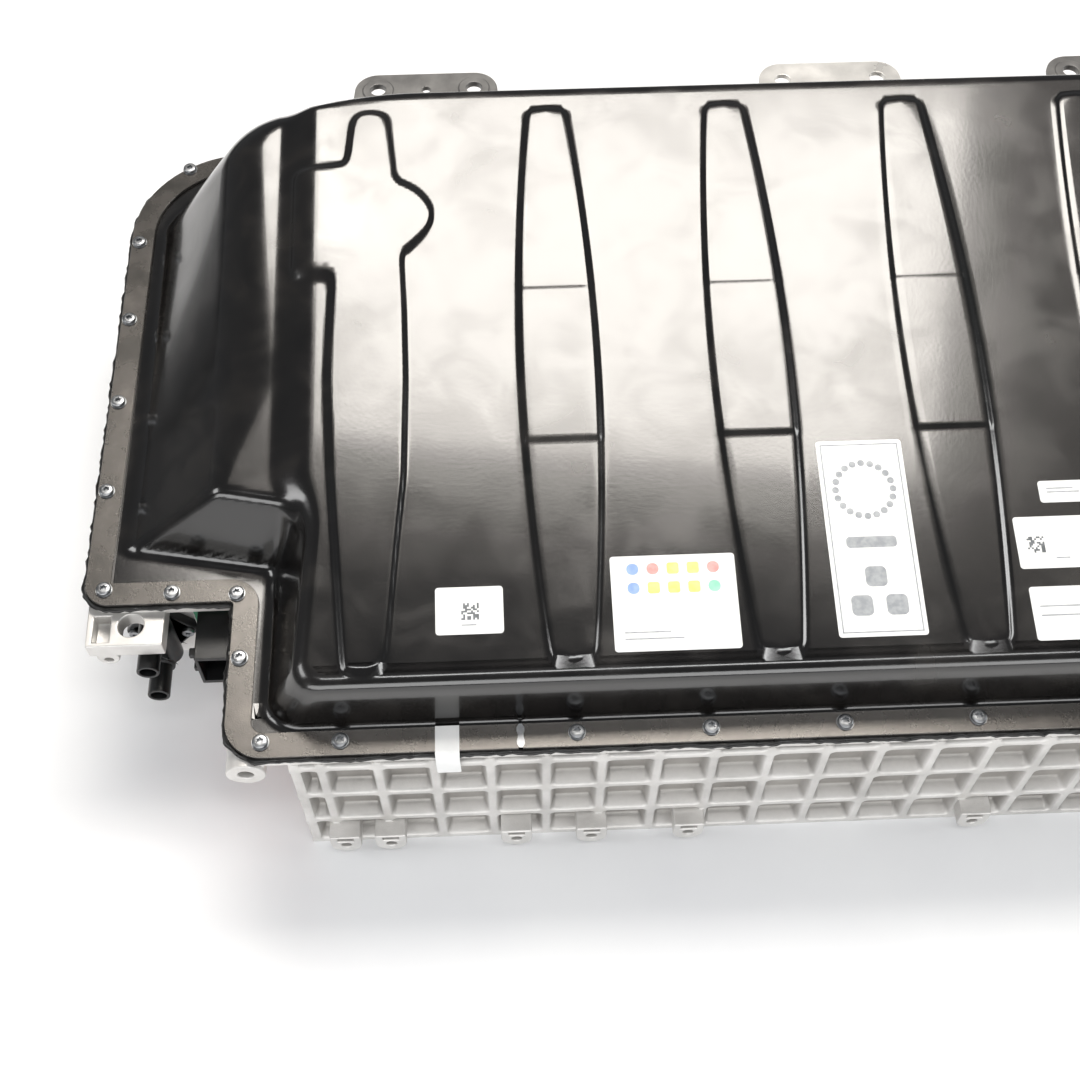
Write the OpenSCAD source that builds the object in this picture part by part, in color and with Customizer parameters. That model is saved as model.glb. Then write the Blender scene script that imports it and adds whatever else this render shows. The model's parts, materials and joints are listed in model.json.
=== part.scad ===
// Liquid-cooled traction battery pack with prismatic cells.
// Frame: +X along the pack, +Y to the back, +Z up, origin under the middle of the tray.

/* [Pack] */
// Length of the rim, end to end
pack_len = 1120; // [1000:1:1350]
// Depth of the rim, front to back
pack_dep = 624; // [560:1:760]
// Height of the tray's rim above its base
tray_h = 166; // [150:1:200]
// Width of the corner left open for the connectors
notch_w = 117.5; // [100:0.5:140]
// Depth of the corner left open for the connectors
notch_d = 134; // [110:1:160]

/* [Tray] */
// Thickness of the rim the cover seals on
rim_t = 10; // [8:0.5:14]
// Width of the rim the cover seals on
rim_w = 24; // [22:0.5:30]
// Depth of the outside pockets
pocket_d = 13; // [8:0.5:16]
// Thickness of the cast walls
wall_t = 5; // [4:0.5:6]
// Thickness of the cast floor
floor_t = 7; // [5:0.5:10]
// Thickness of the outside ribs
rib_t = 4.5; // [3:0.5:7]
// Spacing of the upright ribs
rib_pitch = 42.5; // [34:0.5:52]
// Spacing of the level ribs
rib_rows = 50; // [40:1:60]
// Depth of the connector end, below the rim
ear_deep = 104; // [90:1:120]

/* [Mountings] */
// Radius of the threaded holes in the front lugs
lug_hole_r = 4.25; // [3:0.25:5]
// Radius of the threaded hole in the corner boss
corner_hole_r = 6; // [4:0.25:7]
// Radius of the hole in the connector-end lug
ear_hole_r = 10; // [7:0.5:12]
// Radius of the holes in the rear brackets
bracket_hole_r = 7.5; // [5:0.5:9]
// Spacing of the two holes in a rear bracket
bracket_pitch = 94; // [80:1:100]
// Reach of a rear bracket behind the tray
bracket_reach = 105; // [95:1:140]
// Thickness of the bracket plate
bracket_t = 5; // [3:0.5:6]
// Radius of the coolant stubs
stub_r = 9; // [7:0.5:10]

/* [Cover] */
// Thickness of the pressed sheet
cover_t = 1.5; // [1:0.1:2]
// Slope of the cover's top, front to back
top_slope = 8.53; // [4:0.01:10]
// Air above the upper modules
clear_top = 5; // [4:0.5:12]
// Drop from the top to the shoulder over the connector end
shoulder_drop = 10; // [6:0.5:16]
// Height of the raised beads
bead_h = 2.5; // [1.5:0.1:4]
// Width of a bead at its middle
bead_w = 61; // [44:1:70]
// Width of the clamping strips
strip_w = 20; // [18:0.5:22]
// Thickness of the clamping strips
strip_t = 3; // [2:0.5:4]
// Spacing of the cover screws on the long sides
screw_pitch = 100; // [80:1:120]
// Spacing of the cover screws on the ends
screw_pitch_end = 91; // [75:1:110]
// Diameter of the cover screws' thread
screw_d = 6; // [5:0.5:6]

/* [Modules] */
// Cells in one module
cell_n = 12; // [10:1:12]
// Thickness of a cell
cell_t = 26.5; // [22:0.1:27.5]
// Width of a cell
cell_w = 143; // [120:0.5:145]
// Height of a cell's case
cell_h = 88; // [74:0.5:92]
// Thickness of a module's end plate
end_t = 14; // [10:0.5:16]
// Spacing of the modules side by side
module_pitch = 151.5; // [148:0.5:170]
// Height of the cooling plates
plate_t = 8; // [6:0.5:12]

/* [Hidden] */
$fn = 48;
e = 0.3;                     // gap between the tray side and what lifts off with the cover
xL = -pack_len / 2; xR = pack_len / 2;
yF = -pack_dep / 2; yB = pack_dep / 2;
xN = xL + notch_w;  yN = yF + notch_d;

// Tray
rows_z = [for (k = [0:3]) tray_h - 20 - k * rib_rows];
mx0 = xN + 46;               // left outer face of the deep part
mx1 = xR - pocket_d;
my0 = yF + pocket_d; my1 = yB - pocket_d;
cx0 = mx0 + wall_t; cx1 = mx1 - wall_t;
cy0 = my0 + wall_t; cy1 = my1 - wall_t;
ear_z = tray_h - ear_deep;
ear_in = rim_w - wall_t;     // ear wall's outer face, in from the rim's edge
ear_round = 80;              // its back corner
lug_w = 25; lug_h = 28; lug_out = 14; lug_z = 24;
lugs_x = [mx0 + 30.5, mx0 + 67, mx0 + 169, mx0 + 230, mx0 + 309, mx0 + 543];
boss_r = 15; boss_x = xN + 14.5; boss_z = tray_h - 5;
ear_lug = [60, 34, 16];
ear_lug_x = xL + 2; ear_lug_z = tray_h - 6 - ear_lug[2];
ear_hole_x = xL + 36; ear_hole_y = yN - 12;
seal_t = 1.2;
seal_z = tray_h;
flange_z = seal_z + seal_t + e;      // underside of the cover's flange
strip_z = flange_z + cover_t;
top_z = strip_z + strip_t;           // where the screw heads sit
window_x0 = xN - 36; window_w = 34; window_z0 = ear_z + 34; window_h = 44;

// Modules
cell_gap = 0.6;
module_len = cell_n * cell_t + (cell_n + 1) * cell_gap + 2 * end_t;
side_t = 1.5;
module_w = cell_w + 2 * (side_t + 0.5);
term_h = 5; carrier_t = 3; bar_t = 2; board_t = 1.6;
module_h = cell_h + term_h + 13;
pad_t = 1;
plate1_z = floor_t;
mod1_z = plate1_z + plate_t + pad_t;
tier_t = 4;
tier_z = mod1_z + module_h + 2;
plate2_z = tier_z + tier_t;
mod2_z = plate2_z + plate_t + pad_t;
stack_top = mod2_z + module_h;
px0 = cx0 + 10;              // the cover's top starts over the first module's side
px1 = xR - 86;
mod_n = floor((px1 - px0) / module_pitch);
mod_xc = (px0 + px1) / 2;
mod_x = [for (k = [0:mod_n - 1]) mod_xc + (k - (mod_n - 1) / 2) * module_pitch];
mod_y1 = yB - 68;            // back face of the modules
mod_y0 = mod_y1 - module_len;
mod_yc = (mod_y0 + mod_y1) / 2;
front_room = mod_y0 - tier_t - 8 - cy0;
front_y = cy0 + 6 + module_w / 2;
front_n = (front_room > module_w + 16) ? floor((cx1 - cx0 - 60) / (module_len + 6)) : 0;
front_x = [for (k = [0:1:front_n - 1]) mod_xc + (k - (front_n - 1) / 2) * (module_len + 6)];
cell_y = [for (k = [0:cell_n - 1]) (k - (cell_n - 1) / 2) * (cell_t + cell_gap)];
term_x = cell_w / 2 - 25;

// Cover
function top_at(y) = stack_top + clear_top + cover_t + tan(top_slope) * (y - mod_y0);
foot_f = yF + rim_w; foot_b = yB - rim_w;
ridge_f = foot_f + 5; ridge_b = mod_y1 + 2 * cover_t;
foot_l = xN + 33.5; foot_r = xR - rim_w;
ear_foot = xL + rim_w + 6; ear_foot_f = yN + rim_w + 10;
bead_y0 = foot_f + 12; bead_y1 = ridge_b - 22;
bead_x = [for (k = [0:mod_n]) mod_xc + (k - mod_n / 2) * module_pitch];

// Screws round the rim
edge = 11;
row_x0 = xN + 262.5;
row_n = floor((xR - 35 - row_x0) / screw_pitch);
back_n = floor((pack_len - 190) / screw_pitch);
side_n = floor((pack_dep - 120) / screw_pitch_end);
ear_n = floor((pack_dep - notch_d - 130 - 25) / screw_pitch_end);
SCREWS = concat(
    [[xL + 15.5, yN + 13.5], [xL + 69, yN + 9], [xN + 2.5, yN + 6],
     [xN + 8, yN - 51], [xN + 28, yF + edge + 1], [xN + 87, yF + edge]],
    [for (k = [0:row_n]) [row_x0 + k * screw_pitch, yF + edge]],
    [for (k = [0:side_n]) [xR - edge, (k - side_n / 2) * screw_pitch_end]],
    [for (k = [0:back_n]) [xR - 60 - k * screw_pitch, yB - edge]],
    [for (k = [0:ear_n]) [xL + 7.5, yB - 110 - k * screw_pitch_end]],
    [[xL + 46, yB - 19]]);

// Rear brackets
bracket_w = bracket_pitch + 50;
bracket_x = [px0 + 90, mod_xc + 61, px1 - 80];
bracket_z = top_z - bracket_t;
bracket_y0 = yB + 1;
bracket_y1 = yB + bracket_reach;
bracket_hole_y = bracket_y1 - 23;
leg_h = 70;
bolt_r = 4;

// Connector end
conn_y = yN + ear_in;        // outer face of the wall the connectors sit on
stub_x = xL + 45; stub_z = [tray_h - 38, tray_h - 79]; stub_y = yN - 38;
vent_r = 14; vent_y = 40; vent_z = tray_h - 60;
lid_lift = 350;

// Junction box
jb_len = 190; jb_w = 128; jb_t = 4;
jb_x0 = xL + rim_w + 8; jb_y0 = yN + rim_w + 22; jb_z = ear_z + 2;
case_w = 52; case_d = 46; case_h = 62; case_wall = 2.5; post_r = 5;
con_x = jb_x0 + 40;
con_y = [jb_y0 + 36, jb_y0 + 88];
pre_x = con_x; pre_y = jb_y0 + 134;
stroke = 2.5;
bms_len = 118;
bms_y0 = jb_y0 + jb_len + 12;

// ---- shared shapes ----

// Rectangle with its own radius on each corner
module rr(x0, y0, x1, y1, r) {
    hull() {
        translate([x0 + r[0], y0 + r[0]]) circle(r[0]);
        translate([x1 - r[1], y0 + r[1]]) circle(r[1]);
        translate([x1 - r[2], y1 - r[2]]) circle(r[2]);
        translate([x0 + r[3], y1 - r[3]]) circle(r[3]);
    }
}

// The rim's outline, d in from its edge
module outline(d) {
    rr(xL + d, yN + d, xR - d, yB - d, [max(20 - d, 3), 3, 60 - d, ear_round + ear_in - d]);
    rr(xN + d, yF + d, xR - d, 0, [max(30 - d, 10), 40 - d, 3, 3]);
}

module box(x0, x1, y0, y1, z0, z1) {
    translate([x0, y0, z0]) cube([x1 - x0, y1 - y0, z1 - z0]);
}

// Drawn in (Y, Z) and run along X
module along_x(x0, x1) {
    translate([x0, 0, 0]) rotate([90, 0, 90]) linear_extrude(x1 - x0) children();
}

// Drawn in (X, Z) and run along Y
module along_y(y0, y1) {
    translate([0, y1, 0]) rotate([90, 0, 0]) linear_extrude(y1 - y0) children();
}

module hole_y(x, z, r, y0, y1) {
    translate([x, y0, z]) rotate([-90, 0, 0]) cylinder(r = r, h = y1 - y0);
}

module at_screws() {
    for (p = SCREWS) translate([p[0], p[1], 0]) children();
}

// Cap screw: head on z = 0, thread below, with a drive recess
module screw(d, head_d, head_h, len) {
    difference() {
        union() {
            cylinder(r = head_d / 2, h = head_h);
            translate([0, 0, -len]) cylinder(r = d / 2, h = len + 0.1);
        }
        translate([0, 0, head_h * 0.4]) cylinder(r = head_d * 0.22, h = head_h, $fn = 6);
    }
}

// Close-wound spring of length h standing on z = 0
module coil_spring(r, wire, h) {
    n = floor(h / (wire * 0.86));
    rotate_extrude() for (k = [0:n - 1]) translate([r, wire / 2 + k * (h - wire) / (n - 1)]) circle(wire / 2, $fn = 16);
}

// ---- tray ----

module ribs() {
    n = floor((mx1 - mx0 - 66) / rib_pitch);
    x1 = mx0 + 66 + n * rib_pitch;
    for (s = [0, 1]) {
        y0 = s == 0 ? yF : my1 - 1;
        for (k = [-1:n]) box(mx0 + 66 + k * rib_pitch - rib_t / 2, mx0 + 66 + k * rib_pitch + rib_t / 2, y0, y0 + pocket_d + 1, 0, tray_h - rim_t + 1);
        for (z = rows_z) if (z > 4) box(mx0, mx1, y0, y0 + pocket_d + 1, z - rib_t / 2, z + rib_t / 2);
        box(mx0, mx1, y0, y0 + pocket_d + 1, 0, 5);
        box(mx0, mx0 + 8, y0, y0 + pocket_d + 1, 0, tray_h - rim_t + 1);
    }
    m = floor((my1 - my0 - 20) / (2 * rib_pitch));
    for (k = [-m:m]) box(mx1 - 1, xR, k * rib_pitch - rib_t / 2, k * rib_pitch + rib_t / 2, 0, tray_h - rim_t + 1);
    for (z = rows_z) if (z > 4) box(mx1 - 1, xR, my0, my1, z - rib_t / 2, z + rib_t / 2);
    box(mx1 - 1, xR, my0, my1, 0, 5);
}

module tray() {
    color("silver") difference() {
        union() {
            translate([0, 0, tray_h - rim_t]) linear_extrude(rim_t) outline(0);
            box(mx0, mx1, my0, my1, 0, tray_h - rim_t + 1);
            translate([0, 0, ear_z - wall_t]) linear_extrude(ear_deep + wall_t - rim_t + 1)
                rr(xL + ear_in, yN + ear_in, mx0 + 1, yB - ear_in, [6, 0.1, 0.1, ear_round]);
            ribs();
            for (x = lugs_x) {
                box(x - lug_w / 2, x + lug_w / 2, yF - lug_out, my0 + 1, lug_z, lug_z + lug_h - 12);
                hole_y(x, lug_z, lug_w / 2, yF - lug_out, my0 + 1);
            }
            hole_y(boss_x, boss_z - boss_r + 4, boss_r, yF - 4, yF + 70);
            hole_y(stud_x, stud_z, 11, yF - 1, my0 + 1);
            // lug at the connector end
            box(ear_lug_x, ear_lug_x + ear_lug[0], yN - ear_lug[1] + 4, yN + ear_in + 1, ear_lug_z, ear_lug_z + ear_lug[2]);
            hole_y(ear_lug_x + 14, ear_lug_z - 4, 9, yN - ear_lug[1] + 4, yN + ear_in + 1);
            // frame round the signal socket
            box(window_x0 - 5, window_x0 + window_w + 5, conn_y - 6, conn_y + 1, window_z0 - 5, window_z0 + window_h + 5);
            // seats for the bracket legs
            for (x = bracket_x) box(x - 55, x + 55, my1 - 1, yB, tray_h - rim_t - leg_h + 6, tray_h - rim_t + 1);
        }
        box(cx0, cx1, cy0, cy1, floor_t, tray_h + 1);
        translate([0, 0, ear_z]) linear_extrude(ear_deep + 1)
            rr(xL + rim_w, yN + rim_w, cx0 + 1, yB - rim_w, [4, 0.1, 0.1, ear_round - wall_t]);
        at_screws() translate([0, 0, tray_h - 16]) cylinder(r = screw_d / 2 + e, h = 20);
        for (x = lugs_x) {
            hole_y(x, lug_z, lug_hole_r, yF - lug_out - 1, yF + pocket_d - (x > 0 ? 4 : 2));
            box(x - 6.5, x + 6.5, yF - lug_out - 1, yF - 2, lug_z + 7, lug_z + lug_h - 16 + 1);
        }
        hole_y(boss_x, boss_z - boss_r + 4, corner_hole_r, yF - 5, yF + 30);
        translate([ear_hole_x, ear_hole_y, ear_lug_z - 20]) cylinder(r = ear_hole_r, h = 60);
        hole_y(stud_x, stud_z, 4, yF - 2, yF + 10);
        box(ear_lug_x + 5, ear_lug_x + 18, yN - 26, yN - 3, ear_lug_z + 4, tray_h + 1);
        hole_y(ear_lug_x + 14, ear_lug_z - 7, 3.5, yN - ear_lug[1] + 3, yN - 8);
        // way through for the signal socket, the power socket, the coolant and the vent
        box(window_x0, window_x0 + window_w, conn_y - 7, conn_y + wall_t + 1, window_z0, window_z0 + window_h);
        box(mx0 - 1, cx0 + 1, yF + 44, yF + 98, 64, 120);
        for (z = stub_z) hole_y(stub_x, z, stub_r + 1, conn_y - 1, conn_y + wall_t + 1);
        translate([cx1 - 1, vent_y, vent_z]) rotate([0, 90, 0]) cylinder(r = vent_r + 0.2, h = pocket_d + wall_t + 2);
        for (x = bracket_x, s = [-1, 1], z = [0, 1])
            hole_y(x + s * 40, bracket_z - 30 - z * 26, bolt_r, yB - 12, yB + 1);
        for (s = inlet_screws) hole_y(stub_x + s, (stub_z[0] + stub_z[1]) / 2, 2.6, conn_y - 1, conn_y + wall_t - 0.5);
    }
}

module cover_seal() {
    color("dimgray") translate([0, 0, seal_z]) linear_extrude(seal_t) difference() {
        outline(0.5);
        outline(rim_w - 6);
        for (p = SCREWS) translate(p) circle(screw_d / 2 + e);
    }
}

// ---- cover ----

// Solid of the cover's raised part, i in from its outer face
module dome(i) {
    z0 = flange_z - (i > 0 ? 1 : 0);
    b = tan(top_slope);
    up = i / cos(top_slope);
    intersection() {
        along_x(xL, xR) polygon([[foot_f + i, z0], [ridge_f + i, top_at(ridge_f) - up], [ridge_b - i, top_at(ridge_b) - up], [foot_b - i, z0]]);
        along_y(yF, yB) polygon([[foot_l + i, z0], [foot_l + 26 + i, z0 + 60], [px0 + 5 + i, top_at(yB)], [px1 - i, top_at(yB)], [foot_r - i, z0]]);
        translate([0, 0, z0]) linear_extrude(200) rr(foot_l + i, foot_f + i, foot_r - i, foot_b - i, [14 - i, 34 - i, 46 - i, 30]);
    }
    intersection() {
        along_x(xL, 0) polygon([[ear_foot_f + i, z0], [ear_foot_f + 20 + i, z0 + 76], [ear_foot_f + 20 + i, top_at(ear_foot_f + 20) - shoulder_drop - up],
            [ridge_b - i, top_at(ridge_b) - shoulder_drop - up], [foot_b - i, z0]]);
        along_y(yF, yB) polygon([[ear_foot + i * 1.4, z0], [ear_foot + 130 + i * 1.4, z0 + 130], [px0 + 60, z0 + 130], [px0 + 60, z0]]);
        translate([0, 0, z0]) linear_extrude(200) rr(ear_foot + i, ear_foot_f + i, 0, foot_b - i, [8, 5, 5, 90 - i]);
    }
}

// Bead outline, d in from its edge
module bead_shape(d) {
    m = (bead_y0 + bead_y1) / 2;
    q = (bead_y1 - bead_y0) / 4;
    w = bead_w / 2 - d;
    polygon([[-w * 0.52, bead_y0 + d], [w * 0.52, bead_y0 + d], [w * 0.86, m - q], [w, m], [w * 0.86, m + q],
        [w * 0.46, bead_y1 - d], [-w * 0.46, bead_y1 - d], [-w * 0.86, m + q], [-w, m], [-w * 0.86, m - q]]);
}

module beads(d, up) {
    for (x = bead_x) translate([x, mod_y0, top_at(mod_y0) - up]) rotate([top_slope, 0, 0])
        translate([0, -mod_y0, -4]) linear_extrude(4 + bead_h) bead_shape(d);
}

module cover() {
    color("#222222") difference() {
        union() {
            translate([0, 0, flange_z]) linear_extrude(cover_t) outline(1);
            dome(0);
            beads(0, 0);
        }
        dome(cover_t);
        beads(cover_t, cover_t);
        at_screws() translate([0, 0, flange_z - 1]) cylinder(r = screw_d / 2 + e, h = 4);
    }
}

module strip_ring() {
    difference() {
        translate([0, 0, strip_z]) linear_extrude(strip_t) difference() {
            outline(0);
            outline(strip_w);
        }
        at_screws() translate([0, 0, strip_z - 1]) cylinder(r = screw_d / 2 + e, h = strip_t + 2);
    }
}
joint_x = xN + 219; joint_r = xR - 150;
module strip_left() {
    color("#333333") intersection() { strip_ring(); box(xL - 1, joint_x, yF - 1, yB + 1, 0, 400); }
}
module strip_front() {
    color("#333333") intersection() { strip_ring(); box(joint_x + 3, joint_r, yF - 1, 0, 0, 400); }
}
module strip_right() {
    color("#333333") intersection() { strip_ring(); box(joint_r + 3, xR + 1, yF - 1, yB + 1, 0, 400); }
}
module strip_back() {
    color("#333333") intersection() { strip_ring(); box(joint_x + 3, joint_r, 0, yB + 1, 0, 400); }
}

module cover_screws() {
    color("silver") at_screws() translate([0, 0, top_z]) screw(screw_d, 2 * screw_d, 4, top_z - tray_h + 13);
}

// ---- rear brackets ----

module bracket(x, raised) {
    translate([x, 0, 0]) difference() {
        union() {
            translate([0, 0, bracket_z]) linear_extrude(bracket_t) hull() {
                for (s = [-1, 1]) translate([s * bracket_pitch / 2, bracket_hole_y]) circle(23);
                translate([-bracket_w / 2 - 4, bracket_y0]) square([bracket_w + 8, 10]);
            }
            box(-bracket_w / 2 - 4, bracket_w / 2 + 4, bracket_y0, bracket_y0 + bracket_t, bracket_z - leg_h, bracket_z + bracket_t);
            if (raised) for (s = [-1, 1]) translate([s * bracket_pitch / 2, bracket_hole_y, bracket_z]) cylinder(r = 15, h = bracket_t + 1.5);
        }
        for (s = [-1, 1]) translate([s * bracket_pitch / 2, bracket_hole_y, bracket_z - 1]) cylinder(r = bracket_hole_r, h = bracket_t + 4);
        if (raised) translate([0, bracket_hole_y, bracket_z - 1]) cylinder(r = 4, h = bracket_t + 4);
        for (s = [-1, 1], z = [0, 1]) hole_y(s * 40, bracket_z - 30 - z * 26, bolt_r + 0.4, bracket_y0 - 1, bracket_y0 + bracket_t + 1);
    }
}
module bracket_left() { color("#2b2b2b") bracket(bracket_x[0], true); }
module bracket_middle() { color("lightgray") bracket(bracket_x[1], false); }
module bracket_right() { color("#2b2b2b") bracket(bracket_x[2], true); }

module bracket_bolts() {
    color("gray") for (x = bracket_x, s = [-1, 1], z = [0, 1])
        translate([x + s * 40, bracket_y0 + bracket_t, bracket_z - 30 - z * 26]) rotate([-90, 0, 0]) {
            cylinder(r = 7, h = 8, $fn = 6);
            translate([0, 0, -14]) cylinder(r = bolt_r, h = 15);
        }
}

// ---- connector end ----

inlet_screws = [-19, 24];     // from the stubs' middle
module coolant_inlet() {
    zm = (stub_z[0] + stub_z[1]) / 2;
    color("#181818") difference() {
        union() {
            along_y(conn_y - 8, conn_y) hull() {
                for (z = stub_z) translate([stub_x, z]) circle(stub_r + 3.5);
                for (s = inlet_screws) translate([stub_x + s, zm]) circle(7);
            }
            translate([stub_x + 7, conn_y - 18, stub_z[1]]) cylinder(r = 10, h = stub_z[0] + 4 - stub_z[1]);
            translate([stub_x + 7, conn_y - 18, stub_z[0] + 4]) sphere(10);
            for (z = stub_z) {
                hole_y(stub_x, z, stub_r, stub_y, conn_y - 29);
                hole_y(stub_x, z, stub_r + 2, conn_y - 30, conn_y - 7);
                hole_y(stub_x, z, stub_r - 0.5, conn_y - 8, conn_y + wall_t + 4);
            }
        }
        for (z = stub_z) hole_y(stub_x, z, stub_r - 2.5, stub_y - 1, conn_y + wall_t + 6);
        for (s = inlet_screws) hole_y(stub_x + s, zm, 3, conn_y - 9, conn_y + 1);
    }
}

module coolant_seal() {
    color("darkgreen") for (z = stub_z) translate([stub_x, conn_y + 2, z]) rotate([-90, 0, 0]) difference() {
        cylinder(r = stub_r + 1, h = 2);
        translate([0, 0, -1]) cylinder(r = stub_r - 0.4, h = 4);
    }
}

module coolant_screws() {
    color("silver") for (s = inlet_screws) translate([stub_x + s, conn_y - 8, (stub_z[0] + stub_z[1]) / 2])
        rotate([90, 0, 0]) screw(5, 10, 3.5, 11.5);
}

socket_x = window_x0 + window_w / 2; socket_z = window_z0 + window_h / 2;
module signal_socket() {
    color("#141414") difference() {
        union() {
            box(window_x0 + 1, window_x0 + window_w - 1, conn_y - 52, conn_y + 8, window_z0 + 1, window_z0 + window_h - 1);
            for (z = [socket_z - 12, socket_z + 10]) box(window_x0 - 5, window_x0 + 2, conn_y - 44, conn_y - 37, z - 3, z + 3);
        }
        box(window_x0 + 4, window_x0 + window_w - 4, conn_y - 53, conn_y - 14, window_z0 + 5, window_z0 + window_h - 5);
    }
}
module socket_gasket() {
    color("seagreen") difference() {
        box(window_x0 - 3, window_x0 + window_w + 3, conn_y - 8, conn_y - 6, window_z0 - 3, window_z0 + window_h + 3);
        box(window_x0 + 1, window_x0 + window_w - 1, conn_y - 9, conn_y - 5, window_z0 + 1, window_z0 + window_h - 1);
    }
}

power_y = yF + 71; power_z = 92;
module power_socket() {
    color("darkorange") difference() {
        union() {
            box(mx0 - 6, mx0, power_y - 36, power_y + 36, power_z - 36, power_z + 36);
            box(mx0 - 36, mx0 - 5, power_y - 28, power_y + 28, power_z - 20, power_z + 20);
            box(mx0 - 1, cx0 + 6, power_y - 25, power_y + 25, power_z - 20, power_z + 20);
        }
        box(mx0 - 37, mx0 - 8, power_y - 25, power_y + 25, power_z - 17, power_z + 17);
        for (s = [-1, 1]) translate([mx0 - 14, power_y + s * 14, power_z]) rotate([0, 90, 0]) cylinder(r = 4, h = 60);
        for (s = [-1, 1], t = [-1, 1]) translate([mx0 - 7, power_y + s * 31, power_z + t * 31]) rotate([0, 90, 0]) cylinder(r = 2.5, h = 8);
    }
}
module power_contacts() {
    color("goldenrod") for (s = [-1, 1]) translate([mx0 - 30, power_y + s * 14, power_z]) rotate([0, 90, 0]) cylinder(r = 4, h = 30 + wall_t + 22);
}
module socket_screws() {
    color("silver") for (s = [-1, 1], t = [-1, 1]) translate([mx0 - 6, power_y + s * 31, power_z + t * 31]) rotate([0, -90, 0]) {
        cylinder(r = 4.5, h = 3.2);
        translate([0, 0, -6]) cylinder(r = 2.5, h = 6.5);
    }
}

vent_len = pocket_d + wall_t + 4;
module vent_body() {
    color("#202020") translate([cx1, vent_y, vent_z]) rotate([0, 90, 0]) difference() {
        union() {
            cylinder(r = vent_r, h = vent_len);
            translate([0, 0, vent_len - 4]) cylinder(r = vent_r + 4, h = 4);
        }
        translate([0, 0, 4]) cylinder(r = vent_r - 3, h = vent_len - 7);
        translate([0, 0, -1]) cylinder(r = 7, h = 10);
        translate([0, 0, vent_len - 4]) cylinder(r = 2.5 + e, h = 5);
        for (k = [0:5]) rotate([0, 0, 60 * k]) translate([7, 0, vent_len - 4]) cylinder(r = 2, h = 5);
    }
}
// Disc on its seat; the stem is guided in the outer grille
module vent_valve() {
    color("firebrick") translate([cx1 + 4 + e, vent_y, vent_z]) rotate([0, 90, 0]) {
        cylinder(r = 9.5, h = 2);
        cylinder(r = 2.5, h = vent_len - 6);
    }
}
module vent_spring() {
    color("silver") translate([cx1 + 6 + 2 * e, vent_y, vent_z]) rotate([0, 90, 0]) coil_spring(4.2, 0.8, vent_len - 9 - 3 * e);
}

stud_x = xR - 70; stud_z = tray_h - rim_t - 12;
module ground_stud() {
    color("silver") translate([stud_x, yF - 1, stud_z]) rotate([90, 0, 0]) {
        translate([0, 0, -11]) cylinder(r = 4, h = 29);
        cylinder(r = 7, h = 6, $fn = 6);
    }
}

// ---- cooling and supports ----

module cold_plate(z) {
    difference() {
        box(mod_x[0] - module_w / 2, mod_x[mod_n - 1] + module_w / 2, mod_y0, mod_y1, z, z + plate_t);
        for (k = [0:5]) box(mod_x[0] - module_w / 2 + 8, mod_x[mod_n - 1] + module_w / 2 - 8, mod_y0 + 14 + k * (module_len - 28) / 6 + 4, mod_y0 + 14 + (k + 1) * (module_len - 28) / 6 - 4, z + 2, z + plate_t - 2);
    }
}
module cooling_plate_lower() { color("lightsteelblue") cold_plate(plate1_z); }
module cooling_plate_upper() { color("lightsteelblue") cold_plate(plate2_z); }

pipe_r = 6;
module pipe(p, q) {
    v = q - p;
    translate(p) sphere(pipe_r);
    translate(p) rotate(abs(v[0]) > 0 ? [0, sign(v[0]) * 90, 0] : abs(v[1]) > 0 ? [-sign(v[1]) * 90, 0, 0] : [v[2] < 0 ? 180 : 0, 0, 0])
        cylinder(r = pipe_r, h = abs(v[0]) + abs(v[1]) + abs(v[2]));
}
// From the stubs along the wall, back beside the modules and down to both plates
module coolant_pipes() {
    x0 = mod_x[0] - module_w / 2;
    ya = yN + rim_w + 11;
    color("silver") for (k = [0, 1]) {
        z = stub_z[k];
        xb = x0 - 10 - k * 15;
        yc = mod_y0 + 60 + k * 40;
        hole_y(stub_x, z, pipe_r, conn_y + wall_t + 4, ya);
        pipe([stub_x, ya, z], [xb, ya, z]);
        pipe([xb, ya, z], [xb, yc, z]);
        pipe([xb, yc, z], [xb, yc, plate1_z + pipe_r + 1]);
        pipe([xb, yc, plate1_z + pipe_r + 1], [xb, yc, plate2_z + plate_t / 2]);
        translate([xb, yc, plate2_z + plate_t / 2]) sphere(pipe_r);
        for (p = [plate1_z, plate2_z]) translate([xb, yc, p + plate_t / 2]) rotate([0, 90, 0]) cylinder(r = plate_t / 2 - 0.5, h = x0 - xb);
    }
}

module heat_pads() {
    color("pink") {
        for (x = mod_x, z = [mod1_z, mod2_z]) box(x - cell_w / 2, x + cell_w / 2, mod_y0 + end_t, mod_y1 - end_t, z - pad_t, z);
        for (x = front_x) box(x - module_len / 2 + end_t, x + module_len / 2 - end_t, front_y - cell_w / 2, front_y + cell_w / 2, floor_t, mod1_z);
    }
}

module tier_frame() {
    x0 = mod_x[0] - module_w / 2; x1 = mod_x[mod_n - 1] + module_w / 2;
    color("slategray") difference() {
        union() {
            box(x0, x1, mod_y0 - tier_t - 3, mod_y1 + tier_t + 3, tier_z, tier_z + tier_t);
            for (y = [mod_y0 - tier_t - 3, mod_y1 + 3]) box(x0, x1, y, y + tier_t, floor_t, tier_z + 1);
        }
        for (x = mod_x) for (y = [mod_y0 - 20, mod_y1 - 5]) box(x - 45, x + 45, y, y + 30, floor_t + 25, tier_z - 20);
        for (x = mod_x) box(x - 50, x + 50, mod_y0 + 40, mod_y1 - 40, tier_z - 1, tier_z + tier_t + 1);
    }
}

// ---- modules ----

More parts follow.
